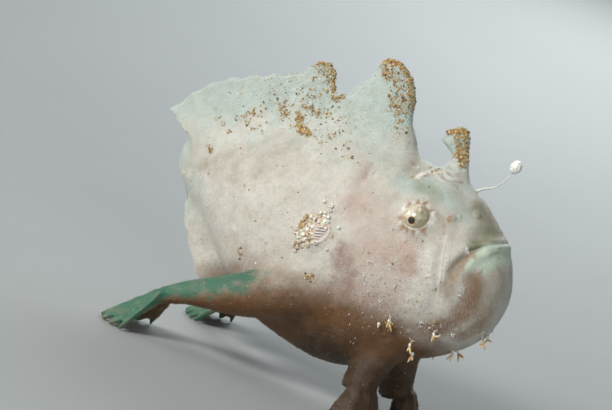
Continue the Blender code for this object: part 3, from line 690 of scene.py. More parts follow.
# The markings of the skin are pale cream, cooler on the fins and brow, grey-green on snout and lips,
# brown on the throat and belly, partly the skin's own brown and partly painted shade that darkens down
# to a painted dark shade on the legs, and a painted teal cast of water light on the arms' upper faces,
# with soft pink clouds and brown freckles.
# Short brown rays run out from the rim of the eye, and a film of silt lies wherever there is sand.
MARKS = {  # path of places, how far the mark reaches, how strong it is, and on which sides
    "cool": (
        (((17.0, 58.0), (22.0, 59.5), (28.0, 59.0), (34.0, 57.5)), 7.5, 0.85, (1, -1)),
        (((44.2, 55.4), (42.5, 58.5), (40.0, 61.5), (37.0, 63.5)), 3.2, 0.8, (1, -1)),
        (((48.6, 49.0), (49.8, 42.0)), 2.5, 0.4, (1, -1)),
        (((-50.0, 53.0), (-44.0, 55.0)), 7.0, 0.95, (1, -1)),
    ),
    "tan": (
        (((41.5, 54.0), (41.5, 57.0), (37.5, 58.5)), 7.5, 0.75, (1, -1)),
        (((44.5, 49.0), (47.5, 44.3), (47.4, 36.0)), 8.0, 0.55, (1, -1)),
        (((30.0, 60.0), (33.0, 58.0), (32.0, 54.0)), 4.5, 0.4, (1, -1)),
        # painted shade in the hollow before the root of the third spine
        (((16.0, 63.6), (17.6, 60.4), (19.6, 62.0)), 4.6, 0.55, (1, -1)),
        # partly brown skin, partly painted shade in the groove down from the mouth's corner
        (((40.5, 48.9), (39.5, 47.0), (38.9, 44.6), (38.7, 41.8), (39.2, 38.6)), 3.4, 0.85, (1, -1)),
        (((-38.0, 43.0), (-26.0, 46.0), (-14.0, 52.0)), 13.0, 0.45, (1, -1)),
        (((33.0, 52.0), (31.0, 49.5), (28.0, 47.5)), 4.0, 0.35, (1, -1)),
        (((-22.5, 27.9), (-20.0, 28.5)), 3.0, 0.3, (1,)),
        (((-34.6, 46.5), (-33.5, 38.5)), 1.3, 0.5, (1, -1)),
    ),
    "olive": (
        # olive skin, partly painted shade in the groove under the upper lip
        (((39.5, 51.0), (40.6, 52.0), (41.8, 53.0)), 3.2, 0.85, (1, -1)),
        (((42.5, 54.0), (39.5, 54.5), (37.8, 56.0)), 6.0, 0.4, (1, -1)),
        (((28.8, 51.6), (28.6, 54.4)), 1.8, 0.5, (1, -1)),
        (((37.4, 58.4), (39.8, 56.6), (41.0, 53.6)), 7.0, 0.7, (1, -1)),
        (((21.0, 58.8), (24.4, 58.8), (26.6, 58.2)), 4.2, 0.6, (1, -1)),
    ),
    "mint": (
        (((46.4, 53.4), (44.0, 52.6), (42.6, 50.8), (41.8, 48.4), (41.4, 46.0)), 2.6, 0.9, (1, -1)),
        (((46.6, 51.2), (45.2, 50.4), (43.6, 47.6)), 3.6, 0.85, (1, -1)),
        (((44.6, 55.2), (43.0, 58.0), (40.6, 61.0), (37.4, 63.4)), 2.0, 0.6, (1, -1)),
    ),
    "umber_and_shade": (
        # brown of the jaw, partly painted shade of the shallow valley between cheek and chin
        (((43.4, 43.0), (44.4, 39.5), (43.6, 35.0), (40.6, 30.5), (36.0, 27.5)), 5.5, 0.72, (1, -1)),
        (((47.6, 34.0), (43.0, 29.0)), 5.0, 0.4, (1, -1)),
        # painted shade down the front of the third spine's root
        (((11.8, 69.0), (12.8, 66.6)), 2.0, 0.35, (1, -1)),
    ),
    "rosy": (
        (((24.0, 42.0), (22.0, 36.0), (16.0, 44.0), (12.0, 50.0)), 12.0, 0.72, (1, -1)),
        (((26.0, 33.0), (20.0, 30.0)), 8.0, 0.7, (1, -1)),
        (((25.6, 44.4), (27.4, 43.4), (29.2, 40.2)), 3.6, 0.9, (1, -1)),
        (((-8.0, 44.0), (-12.0, 52.0)), 9.0, 0.25, (1, -1)),
        (((-22.0, 24.0), (-12.0, 27.0)), 9.0, 0.42, (1, -1)),
        (((7.0, 58.0), (8.3, 55.4)), 5.0, 0.6, (1, -1)),
    ),
    "blotch": (
        (((12.6, 37.0), (14.6, 34.0), (15.8, 29.8)), 6.5, 0.75, (1,)),
        (((13.6, 35.2), (15.4, 32.0)), 3.0, 0.7, (1,)),
        (((-4.0, 30.0), (-1.0, 33.5)), 3.0, 0.3, (1,)),
        (((20.0, 36.0), (21.5, 30.0)), 4.0, 0.5, (-1,)),
        (((7.6, 59.0), (8.3, 55.6)), 1.5, 0.5, (1,)),
        (((9.8, 58.4), (9.6, 56.6)), 1.0, 0.4, (1, -1)),
        # painted shade in the hollow before the third spine
        (((14.9, 64.6), (16.2, 62.8)), 2.0, 0.5, (1, -1)),
        (((12.0, 49.5), (12.4, 47.9)), 2.0, 0.3, (1, -1)),
    ),
    "stain": (
        # partly brown skin, partly painted shade in the groove down from the mouth's corner
        (((40.5, 48.9), (39.5, 47.0), (38.9, 44.6), (38.9, 42.4)), 2.4, 0.5, (1, -1)),
        (((12.9, 48.9), (14.2, 48.9)), 1.4, 0.5, (1,)),
        (((28.4, 42.6), (29.0, 40.8), (28.2, 39.2)), 2.4, 0.42, (1, -1)),
        (((25.4, 43.4), (27.4, 42.8), (27.4, 39.8)), 3.2, 0.35, (1, -1)),
        (((31.9, 54.9), (31.9, 54.3)), 1.4, 0.75, (1, -1)),
        (((32.4, 51.0), (31.6, 52.8)), 1.1, 0.45, (1, -1)),
        (((28.2, 60.0), (29.2, 59.1)), 0.9, 0.45, (1, -1)),
        (((31.0, 59.4), (31.6, 59.0)), 0.6, 0.4, (1, -1)),
        (((33.0, 59.0), (33.4, 58.6)), 0.6, 0.35, (1, -1)),
        (((31.4, 57.0), (32.0, 56.7)), 0.7, 0.35, (1, -1)),
        (((44.7, 52.6), (44.4, 50.9)), 0.6, 0.5, (1, -1)),
        (((48.4, 37.0), (47.4, 33.0), (45.0, 30.4)), 4.6, 0.6, (1, -1)),
        # brown of the jaw, partly painted shade of the shallow valley between cheek and chin
        (((43.4, 43.0), (44.4, 39.5), (43.6, 35.0)), 4.6, 0.42, (1, -1)),
        (((-5.0, 54.4), (-2.2, 54.4)), 0.9, 0.4, (1,)),
        (((36.5, 63.6), (33.9, 62.6)), 1.2, 0.3, (1, -1)),
        (((23.5, 65.5), (25.0, 64.0), (27.2, 63.9), (28.8, 64.7)), 0.7, 0.5, (1, -1)),
        (((23.2, 63.9), (25.1, 62.5), (27.5, 62.5), (29.4, 63.3)), 0.7, 0.55, (1, -1)),
    ),
    "chalk": (
        (((33.3, 50.8), (34.4, 47.6), (35.2, 45.0), (36.0, 42.0), (37.0, 38.6)), 0.6, 0.45, (1, -1)),
        (((34.0, 50.6), (35.1, 47.7), (36.0, 45.2), (36.9, 42.2)), 0.6, 0.4, (1, -1)),
        (((39.0, 49.7), (39.3, 49.2)), 0.9, 1.0, (1, -1)),
        (((45.6, 53.0), (43.0, 51.4), (41.0, 48.2)), 2.0, 0.3, (1, -1)),
        (((19.4, 60.4), (20.4, 62.4), (23.4, 63.4)), 1.6, 0.7, (1, -1)),
        (((30.6, 46.0), (32.2, 42.0), (33.6, 37.6), (32.0, 33.0)), 4.4, 0.4, (1, -1)),
        (((21.6, 51.4), (22.2, 53.2)), 1.2, 0.6, (1, -1)),
    ),
}
DRIFTS = (  # path of places, how far grains stray from it, how many, and on which sides
    (((-1.8, 82.6), (0.2, 83.6), (3.4, 83.4), (6.6, 81.0), (9.9, 75.0)), 0.7, 520, (1, -1)),
    (((0.2, 82.2), (2.7, 80.6), (5.2, 78.4), (7.2, 76.0), (8.3, 73.4)), 1.5, 330, (1, -1)),
    (((4.6, 77.0), (7.4, 72.5), (8.8, 68.5)), 1.7, 130, (1, -1)),
    (((-0.6, 81.4), (0.6, 79.6)), 1.0, 70, (1, -1)),
    (((3.4, 75.4), (5.9, 74.9)), 0.7, 26, (1,)),
    (((-19.0, 76.1), (-16.6, 77.0), (-13.6, 76.4), (-12.1, 74.6)), 0.7, 260, (1, -1)),
    (((-18.0, 75.0), (-15.0, 74.6), (-13.2, 73.0)), 1.3, 120, (1, -1)),
    (((-12.4, 74.0), (-11.6, 71.6)), 0.6, 60, (1, -1)),
    (((-11.3, 69.9), (-8.9, 70.4), (-7.7, 72.0)), 0.5, 90, (1, -1)),
    (((-17.2, 64.9), (-14.3, 64.8), (-12.3, 64.3)), 0.55, 85, (1,)),
    (((-16.9, 62.6), (-15.4, 60.6), (-14.0, 59.7), (-12.6, 59.9), (-11.5, 59.3)), 0.8, 300, (1,)),
    (((-14.8, 60.0), (-13.6, 59.2)), 0.5, 90, (1,)),
    (((-23.6, 63.7), (-21.0, 62.0), (-18.6, 60.8)), 1.3, 130, (1,)),
    (((-18.6, 68.5), (-13.5, 69.0), (-9.0, 66.5), (-6.5, 63.0)), 2.8, 190, (1,)),
    (((-9.0, 61.0), (-6.3, 59.2)), 1.4, 40, (1,)),
    (((-30.7, 57.9), (-28.8, 58.4), (-26.8, 58.9)), 0.4, 42, (1,)),
    (((-33.6, 55.8), (-29.8, 55.7), (-25.6, 55.6)), 0.7, 46, (1,)),
    (((-37.6, 50.6), (-35.4, 51.9), (-32.4, 51.8)), 0.6, 50, (1,)),
    (((-35.9, 46.5), (-34.5, 45.7)), 0.35, 34, (1,)),
    (((-33.0, 61.5), (-20.0, 66.0)), 4.0, 80, (1, -1)),
    (((-4.6, 63.9), (-5.8, 60.9), (0.5, 58.4), (3.2, 60.3)), 1.6, 36, (1,)),
    (((-19.8, 42.1), (-18.2, 41.8), (-16.6, 41.6)), 0.25, 15, (1,)),
    (((0.0, 37.0), (0.6, 39.8), (1.6, 41.9), (4.3, 42.4)), 0.8, 120, (1,)),
    (((0.6, 35.6), (0.9, 33.7), (1.9, 35.6)), 0.6, 60, (1,)),
    (((2.8, 38.4), (3.4, 36.2)), 0.6, 60, (1,)),
    (((-0.6, 38.8), (0.2, 40.4), (1.2, 42.6)), 0.5, 60, (1,)),
    (((6.0, 28.8), (7.3, 29.1)), 0.7, 40, (1,)),
    (((-14.6, 26.8), (-13.6, 25.4)), 0.5, 26, (1,)),
    (((20.9, 73.0), (22.9, 74.2), (24.4, 74.8), (25.7, 72.5), (27.8, 68.2)), 0.6, 340, (1, -1)),
    (((23.6, 72.6), (25.2, 70.6), (26.2, 68.2)), 0.9, 190, (1,)),
    (((25.4, 70.6), (26.9, 67.8), (27.3, 66.4)), 0.6, 90, (1,)),
    (((20.2, 62.1), (20.7, 63.5), (23.2, 63.5), (19.2, 60.0)), 0.9, 40, (1,)),
    (((25.0, 43.4), (28.8, 41.6), (28.4, 38.6)), 1.6, 9, (1, -1)),
    (((38.6, 30.2), (39.4, 27.4)), 0.5, 30, (1, -1)),
    (((28.4, 27.6), (28.9, 26.2)), 0.6, 30, (1, -1)),
    (((34.8, 24.2), (34.6, 21.8)), 0.5, 20, (1, -1)),
    (((48.2, 32.4), (48.6, 30.4)), 0.4, 26, (1, -1)),
    (((-30.0, 60.0), (-14.0, 66.0), (2.0, 62.0)), 7.0, 320, (1, -1)),
    (((-10.0, 48.0), (12.0, 40.0)), 12.0, 110, (1, -1)),
    (((16.0, 44.0), (26.0, 36.0), (36.0, 32.0)), 8.0, 110, (1, -1)),
    (((-34.0, 62.0), (-22.0, 70.5), (-8.0, 71.5), (6.0, 80.0)), 1.6, 130, (-1,)),
    (((-16.0, 60.0), (-9.0, 62.5)), 2.4, 110, (-1,)),
)
FILM_FULL = 20.0  # grains a square millimetre at which the film of silt under them is whole
FILM_REACH = 2.2  # how much further than its grains the film of a drift reaches
WEDGES = (  # brown rays round the eye: where each starts and ends, and its half width at the start
    ((21.9, 50.6), (19.3, 49.9), 1.0),
    ((22.1, 54.0), (20.5, 55.0), 1.3),
    ((23.6, 55.2), (22.9, 56.4), 1.1),
    ((25.2, 55.5), (25.4, 56.8), 0.8),
    ((27.3, 54.6), (28.4, 55.6), 0.6),
    ((23.3, 48.9), (22.4, 47.0), 1.2),
    ((24.7, 48.5), (24.5, 46.9), 0.8),
    ((26.2, 48.6), (26.6, 47.0), 0.7),
    ((28.0, 49.9), (29.8, 48.5), 1.3),
)
RAY_TONE = 0.85
RAY_RAGGED = 0.35
LID_PALE = 0.6
# The brown of the belly is partly its own colour and partly painted shade that darkens the lower parts.
BROWN_AND_SHADE_ENDS = (18.0, 36.5)  # heights between which the brown of the belly gives way
# heights over which a painted dark shade on the legs, feet and lowest belly fades out upwards
PAINTED_LOW_SHADE_ENDS = (11.0, 27.0)
FINS_COOL = (56.0, 74.0)
BACK_COOL = (44.0, 66.0)
TAIL_COOL = (-42.0, -26.0)  # from tail to snout, like the next two
ARM_ENDS = (-10.0, 5.0)
SNOUT_OLIVE = (38.0, 46.0)
# The arm's green is a painted teal cast of water light on its upward faces.
ARM_TEAL_LIGHT_TOP = (-0.6, 0.5)  # how far a face of the arm looks up before it is green


def marked(name):
    """The strength at each point of the skin of all the spots of one mark."""
    strengths = np.zeros(len(skin_points))
    for places, reach, strength, sides in MARKS[name]:
        for near, gap, _ in to_line(places, reach, sides):
            spot = strength * (1 - faded(gap, 0.1 * reach, reach))
            strengths[near] = np.maximum(strengths[near], spot)
    return strengths


off_trunk = faded(to_trunk, 0.6, 4.0)
x, _, z = skin_points.T
facing = normals_of(skin)
broken = rough(5.0, 9)
marks = {name: marked(name) for name in MARKS}
marks["chalk"] = np.maximum(marks["chalk"], LID_PALE * (1 - faded(from_eye, 4.2, 5.4)))
ragged = 2.0 * rough(0.9, 12)
for start, end, width in WEDGES:
    for near, gap, share in to_line((start, end), 2 * width):
        narrow = width * (1.1 - share) * (1 + RAY_RAGGED * ragged[near])
        ray = (1 - faded(gap, 0.1 * narrow, 1.2 * narrow)) * (1 - 0.5 * share)
        marks["stain"][near] = np.maximum(marks["stain"][near], RAY_TONE * ray)
        marks["chalk"][near] *= 1 - ray
marks["silt"] = np.zeros(len(skin_points))
for places, stray, count, sides in DRIFTS:
    steps = np.diff(over_skin(places, sides[0]), axis=0)
    area = 2 * stray * (np.linalg.norm(steps, axis=1).sum() + 2 * stray)
    whole = min(1.0, count / area / FILM_FULL)
    for near, gap, _ in to_line(places, FILM_REACH * stray, sides):
        film = whole * (1 - faded(gap, 0.3 * stray, FILM_REACH * stray))
        marks["silt"][near] = np.maximum(marks["silt"][near], film)
# Brown below a line by height: the skin's own brown together with painted shade on throat, belly and
# arm undersides.
brown_and_shade_line = z + 0.58 * np.maximum(-6.0 - x, 0.0) - 0.22 * np.clip(x - 6.0, 0.0, 12.0)
brown_and_shade_line += 0.25 * np.maximum(x - 27.0, 0.0)
under = 1 - faded(brown_and_shade_line + 1.6 * broken, *BROWN_AND_SHADE_ENDS)
limbs = reach_to(("limb", "hand"), skin_points)
on_limb = (1 - faded(limbs, 0.5, 2.5)) * faded(to_trunk, 0.6, 5.0)
arm = on_limb * (1 - faded(x, *ARM_ENDS))
# Painted light: a teal cast of water light on the faces of the arms that look up.
upward = facing[:, 2] + 0.2 * broken + 0.03 * np.maximum(-8.0 - x, 0.0)
arm_painted_teal_light = softened(arm * faded(upward, *ARM_TEAL_LIGHT_TOP), 40)
risen = z + 0.5 * np.maximum(-10.0 - x, 0.0)
on_fins = (0.5 + 0.5 * off_trunk) * faded(risen + 1.5 * broken, *FINS_COOL)
on_tail = 1 - faded(x + 1.5 * broken, *TAIL_COOL)
on_back = faded(risen + 2.0 * broken, *BACK_COOL)
on_snout = faded(x + 1.2 * broken, *SNOUT_OLIVE) * (1 - under)
# The umber tone also carries this painted shade of the belly and of the arms' undersides.
marks["umber_and_shade"] = softened(np.maximum(marks["umber_and_shade"], under * (1 - 0.5 * arm_painted_teal_light)), 6)
# Painted shade: a near-black brown that deepens towards the floor on the legs, feet and lowest belly.
marks["painted_low_shade"] = softened(1 - faded(z, *PAINTED_LOW_SHADE_ENDS), 4) * (1 - faded(x, 44.0, 50.0)) * faded(x, 0.0, 12.0)
# The teal tone is this painted cast of water light on the arms.
marks["painted_teal_light"] = arm_painted_teal_light
# Tan over the arms: on their undersides, below the painted teal light, it stands as painted shade.
marks["tan"] = np.maximum(marks["tan"], softened(0.75 * arm, 8))
for cool in (on_fins, 0.7 * on_tail, 0.62 * on_back):
    marks["cool"] = np.maximum(marks["cool"], cool)
marks["olive"] = np.maximum(marks["olive"], 0.3 * on_snout)
level = 1 - faded(np.abs(facing[:, 2]), 0.35, 0.7)
cheek_line = z - 0.4 * x
hatched = faded(x, 6.0, 18.0) * (1 - faded(cheek_line, 16.0, 32.0)) * faded(limbs, 1.0, 6.0)
marks["hatched"] = hatched * level * (1 - 0.75 * faded(under, 0.5, 0.9))
freckled = faded(x, 4.0, 14.0) * (1 - faded(cheek_line, 26.0, 38.0))
freckled *= 1 - 0.6 * faded(x, 34.0, 42.0)
marks["freckled"] = np.maximum(freckled, 0.8 * arm)
marks["beaded"] = freckled * (1 - faded(under, 0.2, 0.6))
dusty = (0.35 + 0.65 * faded(z, 50.0, 62.0)) * (1 - faded(x, 12.0, 20.0)) * faded(z, 24.0, 34.0)
marks["dusty"] = np.maximum(dusty, 0.9 * arm)

CREAM = (0.52, 0.495, 0.43)
TONES = (  # mark, its colour, how much of it shows, how finely it is broken up, and how far
    ("cool", (0.44, 0.51, 0.465), 0.95, 150.0, 0.4),
    ("rosy", (0.47, 0.35, 0.295), 0.8, 160.0, 0.35),
    ("tan", (0.30, 0.25, 0.18), 0.85, 260.0, 0.25),
    ("olive", (0.21, 0.225, 0.14), 0.9, 240.0, 0.25),
    ("mint", (0.50, 0.62, 0.50), 0.88, 300.0, 0.25),
    # brown of the skin, together with painted shade on the belly, jaw and hollows
    ("umber_and_shade", (0.14, 0.058, 0.014), 0.97, 260.0, 0.15),
    # painted dark shade on the legs, feet and the bottom of the belly
    ("painted_low_shade", (0.035, 0.02, 0.01), 0.9, 260.0, 0.2),
    # painted teal cast of water light on the arms' upper faces
    ("painted_teal_light", (0.042, 0.148, 0.092), 0.97, 420.0, 0.42),
    ("silt", (0.33, 0.27, 0.11), 0.75, 800.0, 0.6),
    ("blotch", (0.26, 0.16, 0.13), 0.8, 420.0, 0.4),
    ("stain", (0.31, 0.165, 0.075), 0.9, 900.0, 0.35),
    ("chalk", (0.80, 0.78, 0.72), 0.9, 700.0, 0.4),
)
FRECKLE = (0.16, 0.09, 0.08)
DUST = (0.40, 0.25, 0.09)
MILKY = (0.78, 0.76, 0.72)
DULL = (0.36, 0.29, 0.24)
EARTH = (0.25, 0.17, 0.10)
SALT = (0.90, 0.89, 0.86)
HATCH_STRETCH = (1.0, 1.0, 6.0)
HATCH_TURN = (0.0, math.radians(-22.0), 0.0)


def fill(tree, socket, value):
    """Sets a socket to a value, or links it."""
    if isinstance(value, bpy.types.NodeSocket):
        tree.links.new(value, socket)
    else:
        socket.default_value = value


def add_node(tree, kind, settings=None, **sockets):
    """A shader node with its settings made and its sockets filled by name."""
    made = tree.nodes.new("ShaderNode" + kind)
    for name, value in (settings or {}).items():
        setattr(made, name, value)
    for name, value in sockets.items():
        fill(tree, made.inputs[name.replace("_", " ")], value)
    return made


def mixed(tree, share, first, second):
    """The second colour laid over the first by a share."""
    made = add_node(tree, "Mix", {"data_type": "RGBA"})
    for slot, value in zip((0, 6, 7), (share, first, second)):
        opaque = (*value, 1.0) if isinstance(value, tuple) else value
        fill(tree, made.inputs[slot], opaque)
    return made.outputs[2]


def worked(tree, operation, *values):
    """One sum on values."""
    made = add_node(tree, "Math", {"operation": operation})
    for slot, value in enumerate(values):
        fill(tree, made.inputs[slot], value)
    return made.outputs[0]


def tinted(tree, colour, mask, share, tone):
    """A colour with a tone over it where a mask is, by no more than a share."""
    return mixed(tree, worked(tree, "MULTIPLY", mask, share), colour, tone)


def ramped(tree, value, low, high):
    """0 where a value is under low, 1 where it is over high, with a soft way between."""
    made = add_node(tree, "MapRange", {"interpolation_type": "SMOOTHSTEP"}, Value=value)
    fill(tree, made.inputs["From Min"], low)
    fill(tree, made.inputs["From Max"], high)
    return made.outputs["Result"]


def group_of(name, inputs):
    """A node group with named number inputs, or vectors, and one mask that it puts out."""
    group = bpy.data.node_groups.new(name, "ShaderNodeTree")
    for label, value in inputs.items():
        kind = "NodeSocketVector" if isinstance(value, tuple) else "NodeSocketFloat"
        socket = group.interface.new_socket(label, in_out="INPUT", socket_type=kind)
        socket.default_value = value
    group.interface.new_socket("Mask", in_out="OUTPUT", socket_type="NodeSocketFloat")
    return group, group.nodes.new("NodeGroupInput").outputs, group.nodes.new("NodeGroupOutput").inputs


def patches_group():
    """Soft uneven patches, which may be drawn out along one direction."""
    group, given, out = group_of(
        "patches",
        {
            "Scale": 300.0, "Detail": 3.0, "Low": 0.4, "High": 0.6,
            "Stretch": (1.0, 1.0, 1.0), "Turn": (0.0, 0.0, 0.0),
        },
    )
    place = add_node(group, "TexCoord").outputs["Object"]
    drawn_out = add_node(
        group, "Mapping", {"vector_type": "TEXTURE"},
        Vector=place, Rotation=given["Turn"], Scale=given["Stretch"],
    )
    cloud = add_node(
        group, "TexNoise", Vector=drawn_out.outputs[0], Scale=given["Scale"], Detail=given["Detail"],
    )
    fill(group, out["Mask"], ramped(group, cloud.outputs["Fac"], given["Low"], given["High"]))
    return group


def spots_group():
    """Small round spots, each in its own cell, of which only some show."""
    group, given, out = group_of("spots", {"Scale": 800.0, "Size": 0.25, "Chance": 0.4})
    place = add_node(group, "TexCoord").outputs["Object"]
    cells = add_node(group, "TexVoronoi", Vector=place, Scale=given["Scale"])
    soft = worked(group, "MULTIPLY", given["Size"], 0.6)
    outside = ramped(group, cells.outputs["Distance"], soft, given["Size"])
    inside = worked(group, "SUBTRACT", 1.0, outside)
    lot = add_node(group, "SeparateColor", Color=cells.outputs["Color"]).outputs["Red"]
    chosen = worked(group, "LESS_THAN", lot, given["Chance"])
    fill(group, out["Mask"], worked(group, "MULTIPLY", inside, chosen))
    return group


patches = patches_group()
spots = spots_group()


def effect(tree, group, **sockets):
    """The mask that a shared effect gives in this material."""
    made = tree.nodes.new("ShaderNodeGroup")
    made.node_tree = group
    for name, value in sockets.items():
        fill(tree, made.inputs[name], value)
    return made.outputs["Mask"]


def mark(tree, name):
    """The strength of a marking that a mesh carries from point to point."""
    return add_node(tree, "Attribute", {"attribute_name": name}).outputs["Fac"]


def bare_material(name, roughness):
    """A new material with its tree, its shader and its roughness."""
    made = bpy.data.materials.new(name)
    made.use_nodes = True
    shader = made.node_tree.nodes["Principled BSDF"]
    shader.inputs["Roughness"].default_value = roughness
    return made, made.node_tree, shader


def skin_finish(name, base, fuzz):
    """Skin with all its markings. Its spinules have the same ones, on a paler ground."""
    made, tree, shader = bare_material(name, 0.5)
    mottle = effect(tree, patches, Scale=180.0, Detail=4.0, Low=0.35, High=0.7)
    colour = tinted(tree, base, mottle, 0.25, MILKY)
    grain = effect(tree, patches, Scale=900.0, Detail=3.0, Low=0.42, High=0.66)
    colour = tinted(tree, colour, grain, 0.16, DULL)
    for label, tone, share, scale, uneven in TONES:
        gaps = effect(tree, patches, Scale=scale, Detail=4.0, Low=0.3, High=0.7)
        left = worked(tree, "SUBTRACT", mark(tree, label), worked(tree, "MULTIPLY", gaps, uneven))
        colour = tinted(tree, colour, ramped(tree, left, 0.0, 1.0 - 0.5 * uneven), share, tone)
    blend = effect(tree, patches, Scale=420.0, Detail=5.0, Low=0.38, High=0.75)
    colour = tinted(tree, colour, blend, 0.16, EARTH)
    hatch = effect(
        tree, patches, Scale=2800.0, Detail=2.0, Low=0.42, High=0.62,
        Stretch=HATCH_STRETCH, Turn=HATCH_TURN,
    )
    lines = worked(tree, "MULTIPLY", hatch, mark(tree, "hatched"))
    colour = tinted(tree, colour, lines, 0.14, MILKY)
    beads = effect(tree, spots, Scale=1700.0, Size=0.32, Chance=0.45)
    beaded = worked(tree, "MULTIPLY", beads, mark(tree, "beaded"))
    colour = tinted(tree, colour, beaded, 0.35, MILKY)
    freckles = effect(tree, spots, Scale=900.0, Size=0.24, Chance=0.4)
    speckled = worked(tree, "MULTIPLY", freckles, mark(tree, "freckled"))
    colour = tinted(tree, colour, speckled, 0.6, FRECKLE)
    dust = effect(tree, spots, Scale=1300.0, Size=0.28, Chance=0.14)
    dusty = worked(tree, "MULTIPLY", dust, mark(tree, "dusty"))
    colour = tinted(tree, colour, dusty, 0.7, DUST)
    salt = effect(tree, spots, Scale=1400.0, Size=0.22, Chance=0.08)
    colour = tinted(tree, colour, salt, 0.4, SALT)
    fill(tree, shader.inputs["Base Color"], colour)
    if not fuzz:
        prickles = effect(tree, patches, Scale=2800.0, Detail=2.0, Low=0.3, High=0.75)
        pores = effect(tree, spots, Scale=1500.0, Size=0.4, Chance=0.7)
        height = worked(tree, "ADD", prickles, worked(tree, "MULTIPLY", pores, 0.6))
        height = worked(tree, "ADD", height, worked(tree, "MULTIPLY", lines, 0.35))
        bump = add_node(tree, "Bump", Height=height, Strength=0.45, Distance=0.00016)
        fill(tree, shader.inputs["Normal"], bump.outputs[0])
        gloss = effect(tree, patches, Scale=500.0, Detail=3.0, Low=0.3, High=0.7)
        dull = add_node(tree, "MapRange", Value=gloss, To_Min=0.42, To_Max=0.6)
        fill(tree, shader.inputs["Roughness"], dull.outputs["Result"])
    shader.inputs["Specular IOR Level"].default_value = 0.3
    shader.inputs["Subsurface Weight"].default_value = 0.4
    shader.inputs["Subsurface Radius"].default_value = (1.0, 0.6, 0.45)
    shader.inputs["Subsurface Scale"].default_value = 0.0014
    return made


def dress(obj, material):
    obj.data.materials.clear()
    obj.data.materials.append(material)


def carry(obj, name, values):
    """Lets a mesh carry a value from point to point under a name."""
    attribute = obj.data.attributes.new(name, "FLOAT", "POINT")
    attribute.data.foreach_set("value", np.ascontiguousarray(values, np.float32))


for name, values in marks.items():
    carry(skin, name, values)
dress(skin, skin_finish("skin", CREAM, False))

# Tiny spinules stand in the whole skin and give it its bloom, most of all along the edges of
# fins and spines. Each is a thin three-sided prickle with its root in the skin.
SPINULE_COUNT = 45000
SPINULE_LONG = (0.22, 0.5)
SPINULE_WIDE = 0.075
SPINULE_SUNK = 0.12
SPINULE_LEAN = 0.55
SPINULE_TONE = (0.74, 0.72, 0.66)
PATCH_WIDE = 0.003  # the width of one small piece's patch on the map of the whole skin


def skin_map(points):
    """Where points lie on the unrolled skin: the body by its girth, what stands off it in a strip."""
    low, high = skin_points.min(axis=0), skin_points.max(axis=0)
    share = (points - low) / (high - low)
    girth = 0.5 + np.arctan2(points[:, 1], points[:, 2] - 38.0) / (2 * math.pi)
    body = np.stack([0.02 + 0.96 * share[:, 0], 0.02 + 0.66 * girth], axis=1)
    side = 0.7 + 0.14 * share[:, 2] + np.where(points[:, 1] < 0, 0.0, 0.15)
    strip = np.stack([0.02 + 0.96 * share[:, 0], side], axis=1)
    off = (points[:, 2] > 66.0) | (points[:, 2] < 8.0) | (points[:, 0] < -40.0)
    return np.where(off[:, None], strip, body)


def scattered(name, shapes, faces, roots):
    """Many small closed shapes as one mesh, each with a patch on the map at its root's place."""
    count, each = shapes.shape[:2]
    faces = np.array(faces)
    loops = (faces[None] + each * np.arange(count)[:, None, None]).reshape(-1, faces.shape[1])
    made = mesh_object(name, shapes.reshape(-1, 3), loops.tolist())
    low = shapes.min(axis=1, keepdims=True)
    size = np.maximum((shapes.max(axis=1, keepdims=True) - low).max(axis=2, keepdims=True), 1e-6)
    local = ((shapes - low) / size)[:, :, [0, 2]] - 0.5
    places = (skin_map(roots)[:, None] + PATCH_WIDE * local).reshape(-1, 2)
    corners = np.empty(len(made.data.loops), np.int32)
    made.data.loops.foreach_get("vertex_index", corners)
    mapped = made.data.uv_layers.new(name="OFBake")
    mapped.data.foreach_set("uv", places[corners].astype(np.float32).ravel())
    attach(made, "root")
    return made


def square_to(directions):
    """Two more axes for each direction, square to it and to each other."""
    helper = np.where(np.abs(directions[:, 2:]) < 0.9, (0.0, 0.0, 1.0), (1.0, 0.0, 0.0))
    first = np.cross(helper, directions)
    first /= np.linalg.norm(first, axis=1, keepdims=True)
    return first, np.cross(directions, first)


def spinules():
    """Prickles on points drawn from the skin, which keep its markings there."""
    draw = np.random.default_rng(11)
    normals = normals_of(skin)
    bare = (from_eye < 4.6) | (skin_points[:, 2] < 1.2)
    chance = np.where(bare, 0.0, 0.55 + 0.45 * off_trunk) * (1 - 0.7 * under)
    roots = draw.choice(len(skin_points), SPINULE_COUNT, replace=False, p=chance / chance.sum())
    lean = draw.normal(0.0, SPINULE_LEAN, (SPINULE_COUNT, 3)) + (-0.25, 0.0, 0.25)
    way = normals[roots] + lean * 0.6
    way /= np.linalg.norm(way, axis=1, keepdims=True)
    first, second = square_to(way)
    start = skin_points[roots] - normals[roots] * SPINULE_SUNK
    length = draw.uniform(*SPINULE_LONG, (SPINULE_COUNT, 1)) * (0.75 + 0.35 * off_trunk[roots, None])
    ring = [start + SPINULE_WIDE * (math.cos(a) * first + math.sin(a) * second) for a in round_turn(3)]
    shapes = np.stack([*ring, start + way * (length + SPINULE_SUNK)], axis=1)
    sides = ((0, 2, 1), (0, 1, 3), (1, 2, 3), (2, 0, 3))
    made = scattered("spinules", shapes, sides, skin_points[roots])
    for name, values in marks.items():
        carry(made, name, np.repeat(values[roots], 4))
    return made


bloom = spinules()
dress(bloom, skin_finish("spinules", SPINULE_TONE, True))

